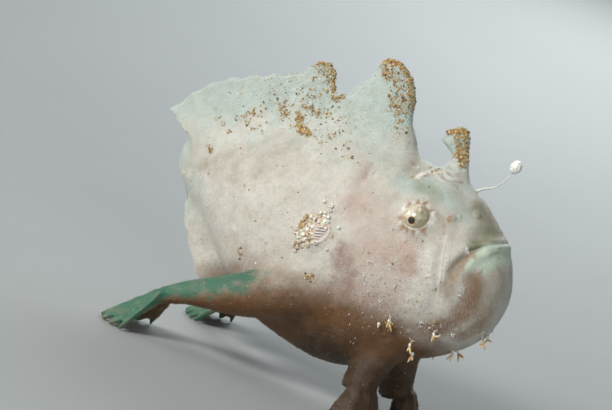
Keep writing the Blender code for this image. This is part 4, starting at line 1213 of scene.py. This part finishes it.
# Each eye is a moist ball in a soft rim, and looks out to the side. A small dark pupil lies behind its
# middle, in cream flesh with tan streaks, and the part ahead of it is cloudy tan-green with small
# painted glints.
GAZE = (-0.01, -0.99, -0.11)
CORNEA_RISE = 0.22
CORNEA_REACH = 0.6
PUPIL_ANGLE = 0.2
RING_ANGLE = 0.235
RIM_ANGLE = 0.86  # from the eye's own axis, near the edge of the opening in the skin
EYE_CREAM = (0.68, 0.65, 0.54)
EYE_STREAK = (0.42, 0.34, 0.20)
EYE_BLOT = (0.40, 0.31, 0.17)
EYE_CLOUDS = ((0.24, 0.24, 0.14), (0.42, 0.40, 0.28))
# pale spots painted on the eye's front as glints of light
EYE_PAINTED_GLINT = (0.80, 0.78, 0.66)
EYE_EDGE = (0.42, 0.31, 0.18)
PUPIL_RING = (0.45, 0.22, 0.06)
PUPIL = (0.008, 0.012, 0.010)


def eyeball(name, side):
    """A ball with a bulge in front of the pupil, whose points know how far they are from it."""
    gaze = np.array(GAZE) * (1, side, 1)
    axes = turned(gaze)
    around, down = 96, 72
    angle = round_turn(around)
    polar = np.linspace(0.004, math.pi - 0.004, down) ** 1.25 / math.pi ** 0.25
    reach = EYE_RADIUS - CORNEA_RISE + CORNEA_RISE * np.exp(-((polar / CORNEA_REACH) ** 2))
    off_axis, on_axis = np.sin(polar)[:, None], np.cos(polar)[:, None]
    local = np.stack(np.broadcast_arrays(
        off_axis * np.cos(angle), off_axis * np.sin(angle), on_axis
    ), axis=-1) * reach[:, None, None]
    points, faces = stacked(eye_centre(side) + local @ axes.T)
    made = mesh_object(name, points, faces)
    ends = np.array([polar[0], polar[-1]])
    carry(made, "from_pupil", np.concatenate([np.repeat(polar, around), ends]))
    outward = (points - eye_centre(side)) / EYE_RADIUS
    carry(made, "ahead", outward[:, 0])
    carry(made, "from_middle", np.arccos(np.clip(outward @ skin_normal(EYE_X, EYE_Z, side), -1, 1)))
    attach(made, "root")
    return made


def eye_finish():
    """Moist flesh of the eye, streaked behind and cloudy ahead with painted glints, with its pupil."""
    made, tree, shader = bare_material("eye", 0.3)
    polar = mark(tree, "from_pupil")
    waves = effect(tree, patches, Scale=900.0, Detail=3.0, Low=0.3, High=0.7)
    wavy = worked(tree, "MULTIPLY", waves, 0.3)
    fine = effect(tree, patches, Scale=2600.0, Detail=2.0, Low=0.45, High=0.6)
    broad = effect(tree, patches, Scale=800.0, Detail=3.0, Low=0.35, High=0.65)
    blots = effect(tree, patches, Scale=1200.0, Detail=2.0, Low=0.5, High=0.62)
    cream = tinted(tree, EYE_CREAM, fine, 0.55, EYE_STREAK)
    cream = tinted(tree, cream, blots, 0.6, EYE_BLOT)
    cloudy = mixed(tree, broad, *EYE_CLOUDS)
    # Painted glints: small pale spots that stand in for highlights on the cloudy front of the eye.
    painted_glints = effect(tree, spots, Scale=1300.0, Size=0.3, Chance=0.3)
    cloudy = tinted(tree, cloudy, painted_glints, 0.7, EYE_PAINTED_GLINT)
    forward = worked(tree, "ADD", mark(tree, "ahead"), wavy)
    colour = mixed(tree, ramped(tree, forward, 0.12, 0.42), cream, cloudy)
    outer = worked(tree, "ADD", mark(tree, "from_middle"), wavy)
    colour = tinted(tree, colour, ramped(tree, outer, RIM_ANGLE, RIM_ANGLE + 0.2), 0.75, EYE_EDGE)
    colour = mixed(tree, ramped(tree, polar, RING_ANGLE + 0.05, RING_ANGLE), colour, PUPIL_RING)
    colour = mixed(tree, ramped(tree, polar, PUPIL_ANGLE + 0.03, PUPIL_ANGLE), colour, PUPIL)
    fill(tree, shader.inputs["Base Color"], colour)
    bump = add_node(tree, "Bump", Height=fine, Strength=0.25, Distance=0.0001)
    fill(tree, shader.inputs["Normal"], bump.outputs[0])
    shader.inputs["Coat Weight"].default_value = 0.6
    shader.inputs["Coat Roughness"].default_value = 0.07
    return made


eye_look = eye_finish()
for side, which in ((1, "right"), (-1, "left")):
    ball_of_eye = eyeball(f"eyeball_{which}", side)
    dress(ball_of_eye, eye_look)
    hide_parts(f"eye_{which}")

# The first dorsal spine is a lure: a bare rod that thins out from a thick white foot on the snout,
# and a plump white bait of soft folds at its tip.
ROD = (
    (31.0, 0, 60.8, 0.5),
    (33.6, 0, 63.3, 0.36),
    (36.4, 0, 65.0, 0.22),
    (38.2, 0, 67.4, 0.18),
    (39.0, 0, 69.4, 0.18),
    (39.3, 0, 70.6, 0.26),
)
BAIT_AT = (39.4, 0.0, 71.5)
BAIT_RADIUS = (1.4, 1.25, 1.7)
BAIT_FOLDS = 0.3
BAIT_FOLDS_A_MM = (1.7, 1.7, 1.1)
ROD_TONES = ((0.66, 0.66, 0.62), (0.50, 0.54, 0.50))
BAIT_TONES = ((0.90, 0.89, 0.84), (0.76, 0.75, 0.70))


def lure_finish(name, tones):
    """Pale, wet, see-through flesh, clouded in two tones."""
    made, tree, shader = bare_material(name, 0.4)
    clouds = effect(tree, patches, Scale=900.0, Detail=3.0, Low=0.35, High=0.65)
    fill(tree, shader.inputs["Base Color"], mixed(tree, clouds, *tones))
    grain = effect(tree, patches, Scale=3000.0, Detail=2.0, Low=0.3, High=0.7)
    bump = add_node(tree, "Bump", Height=grain, Strength=0.4, Distance=0.0001)
    fill(tree, shader.inputs["Normal"], bump.outputs[0])
    shader.inputs["Subsurface Weight"].default_value = 0.4
    shader.inputs["Subsurface Radius"].default_value = (1.0, 0.9, 0.8)
    shader.inputs["Subsurface Scale"].default_value = 0.0008
    return made


rod = mesh_object("rod", *limb(ROD, up=(0.0, 1.0, 0.0), around=20, steps=10))
dress(rod, lure_finish("rod", ROD_TONES))
points, faces = ball(BAIT_AT, BAIT_RADIUS, around=64, down=40)
outward = points - BAIT_AT
outward /= np.linalg.norm(outward, axis=1, keepdims=True)
folds = np.array([noise.noise(p) for p in (points * BAIT_FOLDS_A_MM).tolist()])
bait = mesh_object("bait", points + outward * (BAIT_FOLDS * folds)[:, None], faces)
dress(bait, lure_finish("bait", BAIT_TONES))
for piece, node in ((rod, "lure_rod"), (bait, "lure_bait")):
    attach(piece, "root")
    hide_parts(node)

# Soft tags of skin hang under the chin and cheek, cream at the root and ochre at the tip. Each forks
# into a few prongs, and short threads stand between them.
TAGS = (  # x, height, length and how many prongs
    (48.2, 31.2, 2.4, 4),
    (43.0, 25.2, 2.0, 3),
    (39.2, 28.0, 1.7, 3),
    (35.2, 21.2, 2.0, 3),
    (34.5, 23.2, 1.4, 2),
    (28.7, 27.0, 1.6, 3),
    (26.6, 25.2, 1.3, 2),
)
THREAD_COUNT = 40
THREAD_AREA = ((14.0, 46.0), (17.0, 33.0))
TAG_WIDE = 0.42
STEM_TAPER = (1.0, 0.8, 0.6)
PRONG_TAPER = (0.6, 0.62, 0.26)
THREAD_WIDE, TUFT_WIDE = 0.08, 0.09
THREADS_A_TUFT = 5
TAG_TONES = ((0.66, 0.50, 0.26), (0.50, 0.25, 0.06))
TAG_PALE = (0.80, 0.74, 0.60)
TAG_WHITE = (0.84, 0.83, 0.78)
TUFTS = (  # x and height of small white tufts on cheek and chin
    (16.2, 40.6), (17.2, 39.2), (19.8, 34.4), (20.6, 33.2), (25.3, 41.4), (21.0, 47.2), (16.7, 39.9),
    (19.2, 37.9), (22.2, 31.6), (25.2, 30.4), (23.8, 28.4), (28.6, 27.8), (29.2, 26.8), (38.8, 30.2),
    (39.4, 29.2), (43.0, 29.8), (42.1, 41.0), (41.9, 40.1), (41.8, 39.2), (35.6, 29.6), (34.8, 24.4),
    (48.3, 32.4), (31.2, 33.4), (27.2, 35.2), (24.6, 38.8), (18.4, 62.0), (21.4, 63.0),
)


def tapered(path, radii, sides=7):
    """A round thread of flesh along a path, closed at both ends."""
    path = np.asarray(path, float)
    rows = np.column_stack([path, radii])
    return limb(rows, up=(0.3, 0.2, 0.93), around=sides, steps=3)


def tag(root, out, length, prongs, draw):
    """A short stem that forks, as a few closed forms that grow through one another at the fork."""
    fork = root + out * length * 0.42
    stem = [root - out * 0.5, root + out * length * 0.15, fork]
    forms = [tapered(stem, [TAG_WIDE * share for share in STEM_TAPER])]
    for k in range(prongs):
        spread = draw.normal(0.0, 0.42, 3)
        tip = root + (out + spread) * length * draw.uniform(0.85, 1.1)
        elbow = (fork + tip) / 2 + draw.normal(0.0, 0.1, 3) * length
        prong = [fork - out * 0.15, elbow, tip]
        forms.append(tapered(prong, [TAG_WIDE * share for share in PRONG_TAPER]))
    return forms


def thread(root, out, length, radius, draw):
    """A short bowed thread."""
    bow = draw.normal(0.0, 0.15, 3) * length
    path = [root - out * 0.3, root + out * length * 0.5 + bow, root + out * length]
    return tapered(path, [radius, radius * 0.8, radius * 0.4], 5)


def tags():
    """All tags, threads and tufts of both sides as one piece, whose points know how white they are."""
    draw = np.random.default_rng(5)
    forms, whites = [], []
    for side in (1, -1):
        for x, z, length, prongs in TAGS:
            x += 0 if side == 1 else draw.uniform(-0.8, 0.8)
            out = skin_normal(x, z, side) + np.array((0.1, 0.0, -0.45))
            out /= np.linalg.norm(out)
            forms += tag(skin_point(x, z, side), out, length, prongs, draw)
            whites += [1.0] + [0.0] * prongs
        for _ in range(THREAD_COUNT):
            x, z = draw.uniform(*THREAD_AREA[0]), draw.uniform(*THREAD_AREA[1])
            if not np.interp(x, TRUNK_LINE[:, 0], TRUNK_LINE[:, 2]) + 1.0 < z:
                continue
            out = skin_normal(x, z, side) + draw.normal(0.0, 0.35, 3)
            out /= np.linalg.norm(out)
            long = draw.uniform(0.3, 0.8)
            forms.append(thread(skin_point(x, z, side), out, long, THREAD_WIDE, draw))
        whites += [0.4] * (len(forms) - len(whites))
        for x, z in TUFTS:
            root = over_skin(((x, z),), side)[0]
            for _ in range(THREADS_A_TUFT):
                out = skin_normal(x, z, side) + draw.normal(0.0, 0.7, 3)
                out /= np.linalg.norm(out)
                at = root + draw.normal(0.0, 0.2, 3)
                forms.append(thread(at, out, draw.uniform(0.35, 0.8), TUFT_WIDE, draw))
        whites += [1.0] * (len(forms) - len(whites))
    made = mesh_object("tags", *joined(forms))
    sizes = [len(some) for some, _ in forms]
    carry(made, "white", np.repeat(whites, sizes))
    return made


def tag_finish():
    """Soft flesh, ochre and brown at the tips and white at the roots."""
    made, tree, shader = bare_material("tags", 0.45)
    clouds = effect(tree, patches, Scale=800.0, Detail=3.0, Low=0.4, High=0.58)
    fine = effect(tree, patches, Scale=2400.0, Detail=2.0, Low=0.4, High=0.6)
    colour = tinted(tree, mixed(tree, clouds, *TAG_TONES), fine, 0.35, TAG_PALE)
    colour = mixed(tree, mark(tree, "white"), colour, TAG_WHITE)
    fill(tree, shader.inputs["Base Color"], colour)
    shader.inputs["Subsurface Weight"].default_value = 0.35
    shader.inputs["Subsurface Radius"].default_value = (1.0, 0.7, 0.5)
    shader.inputs["Subsurface Scale"].default_value = 0.0008
    return made


tag_piece = tags()
dress(tag_piece, tag_finish())
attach(tag_piece, "root")

# A crust grows on the right flank: a low bed with a ribbed fan in front, a thin pale rim, and small
# pale cups heaped over the rest of it, most of them with a brown pit.
CRUST_WIDE, CRUST_LONG = 3.9, 4.9
CRUST_LEAN = math.radians(30.0)
CRUST_THICK = 0.28
CRUST_SUNK = 0.4
RIB_SPACE = 0.72
RIB_SLOPE = -0.3  # how the ribs fall behind for each millimetre ahead
RIB_RISE = 0.26
RIM_RISE = 0.07
CUPS = (  # x, height, radius and how brown the pit is
    (2.4, 43.0, 0.42, 0.9), (4.2, 44.3, 0.4, 0.6), (4.3, 42.5, 0.45, 0.7), (3.0, 41.4, 0.42, 0.8),
    (1.5, 41.0, 0.42, 0.7), (0.1, 40.8, 0.4, 0.7), (4.6, 40.4, 0.5, 1.0), (-0.3, 38.6, 0.45, 0.9),
    (1.9, 39.7, 0.6, 0.9), (0.6, 39.6, 0.4, 0.7), (3.2, 38.1, 0.6, 1.0), (3.2, 37.3, 0.45, 0.9),
    (-0.1, 36.9, 0.6, 1.0), (2.0, 36.0, 0.42, 0.8), (1.1, 35.5, 0.42, 0.7), (3.7, 35.8, 0.6, 1.0),
    (5.4, 37.0, 0.6, 0.8), (1.3, 34.1, 0.42, 0.8), (1.0, 33.0, 0.4, 0.9), (8.5, 36.6, 0.4, 0.6),
    (9.0, 42.4, 0.4, 0.4), (4.8, 46.3, 0.6, 0.6), (2.6, 46.6, 0.45, 0.5), (2.1, 39.0, 0.55, 0.0),
    (1.6, 37.6, 0.6, 0.0), (2.6, 41.9, 0.5, 0.0), (5.2, 42.3, 0.5, 0.0), (1.5, 42.0, 0.45, 0.0),
    (3.3, 43.7, 0.5, 0.1), (5.5, 43.6, 0.5, 0.0), (3.1, 40.0, 0.55, 0.0), (3.9, 41.6, 0.4, 0.3),
    (5.4, 41.6, 0.42, 0.8), (5.9, 42.6, 0.4, 0.7), (6.2, 41.0, 0.4, 0.2), (5.0, 45.2, 0.5, 0.8),
    (0.9, 38.2, 0.5, 0.2), (0.7, 36.5, 0.45, 0.1), (2.6, 36.8, 0.45, 0.0), (4.6, 43.4, 0.4, 0.2),
)
CUP_DENT = 0.42
CUP_RAISED = 0.3
BED_TONES = ((0.60, 0.55, 0.48), (0.44, 0.31, 0.15))
BED_PALE = (0.78, 0.75, 0.68)
RIB_TONES = ((0.46, 0.38, 0.34), (0.84, 0.80, 0.76))
RIM_TONE = (0.74, 0.66, 0.60)
CUP_TONES = ((0.82, 0.79, 0.73), (0.58, 0.48, 0.34))
PIT_TONES = ((0.34, 0.19, 0.04), (0.20, 0.09, 0.02))


def on_skin(points):
    """The nearest places on the finished skin, with its direction there."""
    places, normals = [], []
    for point in np.asarray(points).tolist():
        place, normal, _, _ = skin_tree.find_nearest(point)
        places.append(place)
        normals.append(normal)
    return np.array(places), np.array(normals)


def crust():
    """The bed with its ribs and rim, laid on the skin, with its underside sunk in."""
    size = 96
    u, v = np.meshgrid(np.linspace(-1, 1, size), np.linspace(-1, 1, size), indexing="ij")
    around = np.maximum(np.hypot(u, v), 1e-6)
    square = np.maximum(np.abs(u), np.abs(v))
    u, v = u * square / around, v * square / around
    across, up, out = turned(skin_normal(*CRUST_AT)).T
    wide = math.cos(CRUST_LEAN) * across - math.sin(CRUST_LEAN) * up
    high = math.sin(CRUST_LEAN) * across + math.cos(CRUST_LEAN) * up
    ragged = np.array([noise.noise(Vector((a * 2, b * 2, 0.5))) for a, b in zip(u.ravel(), v.ravel())])
    stretch = 1 + 0.22 * ragged.reshape(u.shape)
    spread = (u * CRUST_WIDE * stretch)[..., None] * wide + (v * CRUST_LONG * stretch)[..., None] * high
    places, normals = on_skin((skin_point(*CRUST_AT) + spread).reshape(-1, 3))
    radius = np.hypot(u, v).ravel()
    ahead = math.copysign(1.0, across[0]) * (spread @ across).ravel()
    upward = (spread @ up).ravel()
    fan_share = faded(ahead - 0.4 * np.abs(upward), 0.2, 1.4) * (1 - faded(upward, 0.8, 2.0))
    ribs = np.cos(2 * math.pi * (upward + RIB_SLOPE * ahead) / RIB_SPACE) * fan_share
    ribs *= 1 - faded(radius, 0.72, 0.84)
    rim = np.exp(-(((radius - 0.88) / 0.05) ** 2)) * faded(ahead, -0.5, 1.5)
    lumps = np.array([noise.noise(p) for p in (places / 0.7).tolist()]) * (1 - fan_share)
    rise = CRUST_THICK * (1 - faded(radius, 0.55, 1.0)) + RIB_RISE * ribs + RIM_RISE * rim + 0.2 * lumps
    rise = np.where(radius > 0.985, -0.12, rise)
    top = places + normals * rise[:, None]
    bottom = places - normals * CRUST_SUNK
    made = mesh_object("crust", np.vstack([top, bottom]), two_faced(size, size))
    carry(made, "ribbed", np.tile(fan_share, 2))
    carry(made, "rim", np.tile(rim, 2))
    carry(made, "crest", np.tile(np.clip(ribs, 0, 1), 2))
    return made


def crust_finish():
    """A chalky bed, tan in places, with pale crests on its ribs and a pale rim."""
    made, tree, shader = bare_material("crust", 0.55)
    clouds = effect(tree, patches, Scale=900.0, Detail=3.0, Low=0.4, High=0.6)
    fine = effect(tree, patches, Scale=2200.0, Detail=2.0, Low=0.45, High=0.6)
    bed = tinted(tree, mixed(tree, clouds, *BED_TONES), fine, 0.5, BED_PALE)
    ribbed = mixed(tree, mark(tree, "crest"), *RIB_TONES)
    colour = mixed(tree, mark(tree, "ribbed"), bed, ribbed)
    colour = mixed(tree, mark(tree, "rim"), colour, RIM_TONE)
    fill(tree, shader.inputs["Base Color"], colour)
    bump = add_node(tree, "Bump", Height=fine, Strength=0.5, Distance=0.00012)
    fill(tree, shader.inputs["Normal"], bump.outputs[0])
    shader.inputs["Subsurface Weight"].default_value = 0.2
    shader.inputs["Subsurface Scale"].default_value = 0.0006
    return made


def cups():
    """Small rounded cups, pressed into the bed, whose points know how brown they are."""
    draw = np.random.default_rng(31)
    forms, pits = [], []
    for x, z, radius, brown in CUPS:
        (place,), (out,) = on_skin([skin_point(x, z)])
        local, faces = ball((0.0, 0.0, 0.0), (1.0, 1.0, 1.0), around=20, down=16)
        dent = np.exp(-((np.hypot(local[:, 0], local[:, 1]) / CUP_DENT) ** 2)) * (local[:, 2] > 0)
        local[:, 2] -= CUP_DENT * dent
        lumpy = 1 + 0.2 * np.array([noise.noise(Vector(p) * 1.3 + Vector((x, z, 0.0))) for p in local])
        shape = radius * lumpy[:, None] * draw.uniform((0.8, 0.8, 0.75), (1.25, 1.0, 1.0))
        forms.append((place + out * CUP_RAISED + (local * shape) @ turned(out).T, faces))
        pits.append(brown * dent)
    made = mesh_object("cups", *joined(forms))
    carry(made, "pit", np.concatenate(pits))
    return made


def cup_finish():
    """Chalky white with tan clouds, and brown in the pit."""
    made, tree, shader = bare_material("cups", 0.5)
    clouds = effect(tree, patches, Scale=1500.0, Detail=3.0, Low=0.4, High=0.65)
    pale = tinted(tree, CUP_TONES[0], clouds, 0.5, CUP_TONES[1])
    pit = mixed(tree, clouds, *PIT_TONES)
    colour = mixed(tree, ramped(tree, mark(tree, "pit"), 0.12, 0.42), pale, pit)
    fill(tree, shader.inputs["Base Color"], colour)
    shader.inputs["Subsurface Weight"].default_value = 0.2
    shader.inputs["Subsurface Scale"].default_value = 0.0006
    return made


crust_piece = crust()
dress(crust_piece, crust_finish())
cup_piece = cups()
dress(cup_piece, cup_finish())
for piece in (crust_piece, cup_piece):
    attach(piece, "root")
crust_tree = tree_of(crust_piece, cup_piece)

# Fine sand and silt cling to the skin: ochre and brown grains in drifts along the crests of the fins
# and on the back, black grains here and there, and white chips of shell on cheek and dorsal fin.
BLACK_GRAINS = (  # x and height, like the chips
    (-5.0, 46.0), (-7.3, 43.2), (12.4, 53.0), (4.8, 49.3), (-1.3, 30.1), (-4.9, 40.5), (-15.7, 70.6),
    (-25.5, 55.2), (-23.2, 54.8), (-14.0, 49.5), (-16.4, 44.1), (23.5, 59.4), (24.2, 56.4),
    (29.0, 47.5), (-4.6, 63.9), (-4.2, 62.6), (-5.2, 62.2), (-4.4, 24.4), (-21.8, 38.0),
    (-11.0, 36.5), (8.2, 47.0),
)
BLACK_STRAY = 45
WHITE_CHIPS = (
    (25.3, 41.4), (25.9, 40.7), (21.0, 47.2), (16.7, 39.9), (19.2, 37.9), (20.0, 32.3), (22.2, 32.0),
    (25.2, 30.7), (23.8, 28.8), (24.4, 39.4), (20.3, 40.2), (36.8, 38.3), (35.8, 28.6), (35.5, 29.8),
    (43.1, 29.2), (43.2, 27.8), (40.2, 30.8), (45.8, 31.4), (28.4, 28.2), (38.4, 30.8), (31.0, 33.6),
    (2.2, 44.4), (5.6, 45.0), (18.6, 62.4), (21.6, 62.9), (32.0, 42.4), (27.4, 35.0),
)
CHIP_STRAY = 60
CHIP_FRINGE = ((-38.0, 58.5), (-33.0, 64.0), (-26.0, 69.0), (-19.0, 73.0), (-13.0, 70.0))
CHIPS_IN_FRINGE = 70
SAND_SIZE = (0.055, 0.32)
GRAINS_A_HEAP = 5
HEAP_SPREAD = 0.34
WIDE_STRAY = 3.0
SAND_SHARE = 1.5
BLACK_SIZE = (0.13, 0.2)
CHIP_SIZE = (0.09, 0.22)
CRUST_REACH = 2.5
FEW_LARGE = 3.5  # the higher it is, the fewer grains are large
GRAIN_SUNK = 0.25  # the share of a grain's size by which its middle lies under the skin's surface
MISSED = 2.0  # a place further than this from the skin gets no grain
GRAIN_DULL = (0.30, 0.22, 0.12)
GRAIN_FLAT, CHIP_FLAT = 0.8, 0.6
CHIPS_A_PLACE = 3
BLACK_TONES = ((0.012, 0.014, 0.014), (0.02, 0.018, 0.014))
CHIP_TONES = ((0.86, 0.84, 0.78), (0.74, 0.71, 0.62), (0.90, 0.89, 0.86))


def grain_form():
    """The corners and faces of a blunt twenty-sided grain."""
    solid = bmesh.new()
    bmesh.ops.create_icosphere(solid, subdivisions=1, radius=1.0)
    corners = np.array([v.co for v in solid.verts])
    loops = [tuple(v.index for v in face.verts) for face in solid.faces]
    solid.free()
    return corners, loops


def over_crust(roots, normals):
    """Moves what lies under the crust up on to it."""
    for i, (root, normal) in enumerate(zip(roots, normals)):
        place, out, _, _ = crust_tree.ray_cast(root + CRUST_REACH * normal, -normal, CRUST_REACH)
        if place is not None:
            roots[i], normals[i] = place, out


def grains(name, places, sizes, flatness, draw):
    """Grains of many shapes and sizes that stick in the skin at given places."""
    roots, normals = on_skin(places)
    keep = np.linalg.norm(roots - places, axis=1) < MISSED
    roots, normals = roots[keep], normals[keep]
    over_crust(roots, normals)
    corners, loops = grain_form()
    count = len(roots)
    first, second = square_to(normals)
    spin = draw.uniform(0.0, 2 * math.pi, (count, 1))
    along = np.cos(spin) * first + np.sin(spin) * second
    beside = np.cos(spin) * second - np.sin(spin) * first
    size = sizes[0] + (sizes[1] - sizes[0]) * draw.uniform(0.0, 1.0, (count, 1)) ** FEW_LARGE
    shape = size * draw.uniform(0.65, 1.35, (count, 3)) * (1.0, 1.0, flatness)
    lumpy = corners[None] * draw.uniform(0.75, 1.2, (count, len(corners), 1)) * shape[:, None]
    turned_out = lumpy @ np.stack([along, beside, normals], axis=1)
    raised = roots + normals * size * (flatness - GRAIN_SUNK)
    made = scattered(name, raised[:, None] + turned_out, loops, roots)
    made.data.shade_flat()
    carry(made, "tint", np.repeat(draw.uniform(0.0, 1.0, count), len(corners)))
    return made


def strayed(path, stray, count, draw):
    """Places drawn round a path over the skin, in small heaps if they lie close to it."""
    each = GRAINS_A_HEAP if stray < WIDE_STRAY else 1
    heaps = max(1, count // each)
    way = draw.uniform(0.0, len(path) - 1.0, heaps)
    step = np.minimum(way.astype(int), len(path) - 2)
    middle = path[step] + (path[step + 1] - path[step]) * (way - step)[:, None]
    middle += draw.normal(0.0, stray / 1.5, (heaps, 3))
    return middle[draw.integers(0, heaps, count)] + draw.normal(0.0, HEAP_SPREAD, (count, 3))


def drifts(draw):
    """The places of all the sand."""
    made = []
    for places, stray, count, sides in DRIFTS:
        for side in sides:
            some = int(SAND_SHARE * (count if side == sides[0] else count / 2))
            made.append(strayed(over_skin(places, side), stray, some, draw))
    return np.vstack(made)


def stray_places(count, draw):
    """Places drawn from the whole body above its belly."""
    above = np.flatnonzero((skin_points[:, 2] > 22.0) & (from_eye > 4.0))
    return skin_points[draw.choice(above, count, replace=False)]


def grain_finish(name, tones, roughness):
    """Stone or shell whose tone differs from grain to grain."""
    made, tree, shader = bare_material(name, roughness)
    ramp = add_node(tree, "ValToRGB", Fac=mark(tree, "tint"))
    ramp.color_ramp.interpolation = "CONSTANT"
    bands = ramp.color_ramp.elements
    bands[0].color = (*tones[0], 1.0)
    bands[1].position = 1.0 / len(tones)
    bands[1].color = (*tones[1], 1.0)
    for i, tone in enumerate(tones[2:], 2):
        bands.new(i / len(tones)).color = (*tone, 1.0)
    fine = effect(tree, patches, Scale=3500.0, Detail=2.0, Low=0.4, High=0.65)
    fill(tree, shader.inputs["Base Color"], tinted(tree, ramp.outputs["Color"], fine, 0.35, GRAIN_DULL))
    return made


SAND_TONES = (
    (0.50, 0.29, 0.08), (0.38, 0.17, 0.04), (0.55, 0.40, 0.15), (0.22, 0.10, 0.03), (0.40, 0.35, 0.14),
    (0.56, 0.42, 0.20), (0.44, 0.21, 0.05), (0.10, 0.06, 0.03), (0.52, 0.34, 0.11), (0.66, 0.58, 0.42),
)
draw = np.random.default_rng(23)
sand = grains("sand", drifts(draw), SAND_SIZE, GRAIN_FLAT, draw)
dress(sand, grain_finish("sand", SAND_TONES, 0.6))
black_places = [skin_point(x, z) for x, z in BLACK_GRAINS]
black_places = np.vstack([black_places, stray_places(BLACK_STRAY, draw)])
black = grains("black_grains", black_places, BLACK_SIZE, GRAIN_FLAT, draw)
dress(black, grain_finish("black_grains", BLACK_TONES, 0.35))
chip_roots = [skin_point(x, z) for x, z in WHITE_CHIPS for _ in range(CHIPS_A_PLACE)]
chip_places = [root + draw.normal(0.0, 0.25, 3) for root in chip_roots]
fringe = strayed(over_skin(CHIP_FRINGE, 1), 0.9, CHIPS_IN_FRINGE, draw)
chip_places = np.vstack([chip_places, fringe, stray_places(CHIP_STRAY, draw)])
chips = grains("white_chips", chip_places, CHIP_SIZE, CHIP_FLAT, draw)
dress(chips, grain_finish("white_chips", CHIP_TONES, 0.4))

# The fish stands in a wide pale dish that turns up slowly all round, so that no horizon shows, under
# one broad lamp above its side, a weak one before its snout, one at its tail and one behind it.
DISH_FLAT = 0.25
DISH_CURVE = 1.5
DISH_TONE = (0.36, 0.38, 0.38)
STEPS_ROUND = 96


def dish():
    """A floor that turns up all round into a wall, in metres."""
    profile = [(0.0001, 0.0), (DISH_FLAT, 0.0)]
    for a in np.linspace(0.0, math.pi / 2, 32)[1:]:
        profile.append((DISH_FLAT + DISH_CURVE * math.sin(a), DISH_CURVE * (1 - math.cos(a))))
    angle = round_turn(STEPS_ROUND)
    flat = np.stack([np.cos(angle), np.sin(angle), np.zeros(STEPS_ROUND)], axis=1)
    points = np.vstack([r * flat + (0.0, 0.0, z) for r, z in profile])
    faces = []
    for i in range(len(profile) - 1):
        a, b = i * STEPS_ROUND, (i + 1) * STEPS_ROUND
        for j in range(STEPS_ROUND):
            after = (j + 1) % STEPS_ROUND
            faces.append((a + j, b + j, b + after, a + after))
    mesh = bpy.data.meshes.new("floor")
    mesh.from_pydata(points, [], faces)
    mesh.shade_smooth()
    made = bpy.data.objects.new("floor", mesh)
    bpy.context.scene.collection.objects.link(made)
    return made


floor = dish()
floor_look, tree, shader = bare_material("floor", 0.85)
floor_cloud = effect(tree, patches, Scale=9.0, Detail=2.0, Low=0.2, High=0.8)
lighter = tuple(1.04 * t for t in DISH_TONE)
fill(tree, shader.inputs["Base Color"], mixed(tree, floor_cloud, DISH_TONE, lighter))
dress(floor, floor_look)


def soft_light(name, place, size, power, colour):
    """A round lamp that looks at the fish."""
    lamp = bpy.data.lights.new(name, "AREA")
    lamp.shape = "DISK"
    lamp.size = size
    lamp.energy = power
    lamp.color = colour
    made = bpy.data.objects.new(name, lamp)
    made.location = place
    made.rotation_euler = Vector(place).to_track_quat("Z", "Y").to_euler()
    bpy.context.scene.collection.objects.link(made)


soft_light("key", (-0.34, -0.86, 0.58), 0.36, 9.7, (1.0, 0.98, 0.95))
soft_light("front", (0.60, -0.70, 0.30), 0.5, 1.6, (0.95, 0.98, 1.0))
soft_light("rear", (-0.85, -0.25, 0.30), 0.5, 2.9, (0.97, 0.98, 1.0))
soft_light("back", (-0.15, 0.80, 0.55), 0.6, 4.8, (0.95, 0.98, 1.0))
world = bpy.data.worlds.new("studio")
bpy.context.scene.world = world
world.use_nodes = True
world.node_tree.nodes["Background"].inputs["Color"].default_value = (0.88, 0.95, 1.0, 1.0)
world.node_tree.nodes["Background"].inputs["Strength"].default_value = 0.2
bpy.context.scene.view_settings.view_transform = "Standard"

# The camera looks at the right side from a little ahead, and is turned over, so that the fish, which
# stands level, slopes down to its snout in the view.
VIEW_TURN = math.radians(20.0)
VIEW_RISE = math.radians(6.0)
VIEW_ROLL = math.radians(22.0)
VIEW_REACH = 400.0
VIEW_AIM = (AHEAD, 0.0, 42.6)
PICTURE_WIDTH = 612
MM_A_PIXEL = 0.25
AIM_PIXEL = (24, 10)  # the aim lies this far right of and below the picture's middle

back = Vector((
    math.sin(VIEW_TURN) * math.cos(VIEW_RISE),
    -math.cos(VIEW_TURN) * math.cos(VIEW_RISE),
    math.sin(VIEW_RISE),
))
level = Vector((math.cos(VIEW_TURN), math.sin(VIEW_TURN), 0.0))
raised = back.cross(level).normalized()
right = level * math.cos(VIEW_ROLL) + raised * math.sin(VIEW_ROLL)
above = raised * math.cos(VIEW_ROLL) - level * math.sin(VIEW_ROLL)
stand = Vector(VIEW_AIM) + back * VIEW_REACH
middle = Vector(VIEW_AIM) - right * AIM_PIXEL[0] * MM_A_PIXEL + above * AIM_PIXEL[1] * MM_A_PIXEL
back = (stand - middle).normalized()
above = back.cross(right).normalized()
right = above.cross(back)
lens = bpy.data.cameras.new("camera")
lens.sensor_width = 36.0
lens.lens = lens.sensor_width * VIEW_REACH / (PICTURE_WIDTH * MM_A_PIXEL)
lens.clip_start = 0.01
camera = bpy.data.objects.new("camera", lens)
turn = Matrix((right, above, back)).transposed().to_4x4()
camera.matrix_world = Matrix.Translation(stand * MM) @ turn
bpy.context.scene.collection.objects.link(camera)
bpy.context.scene.camera = camera
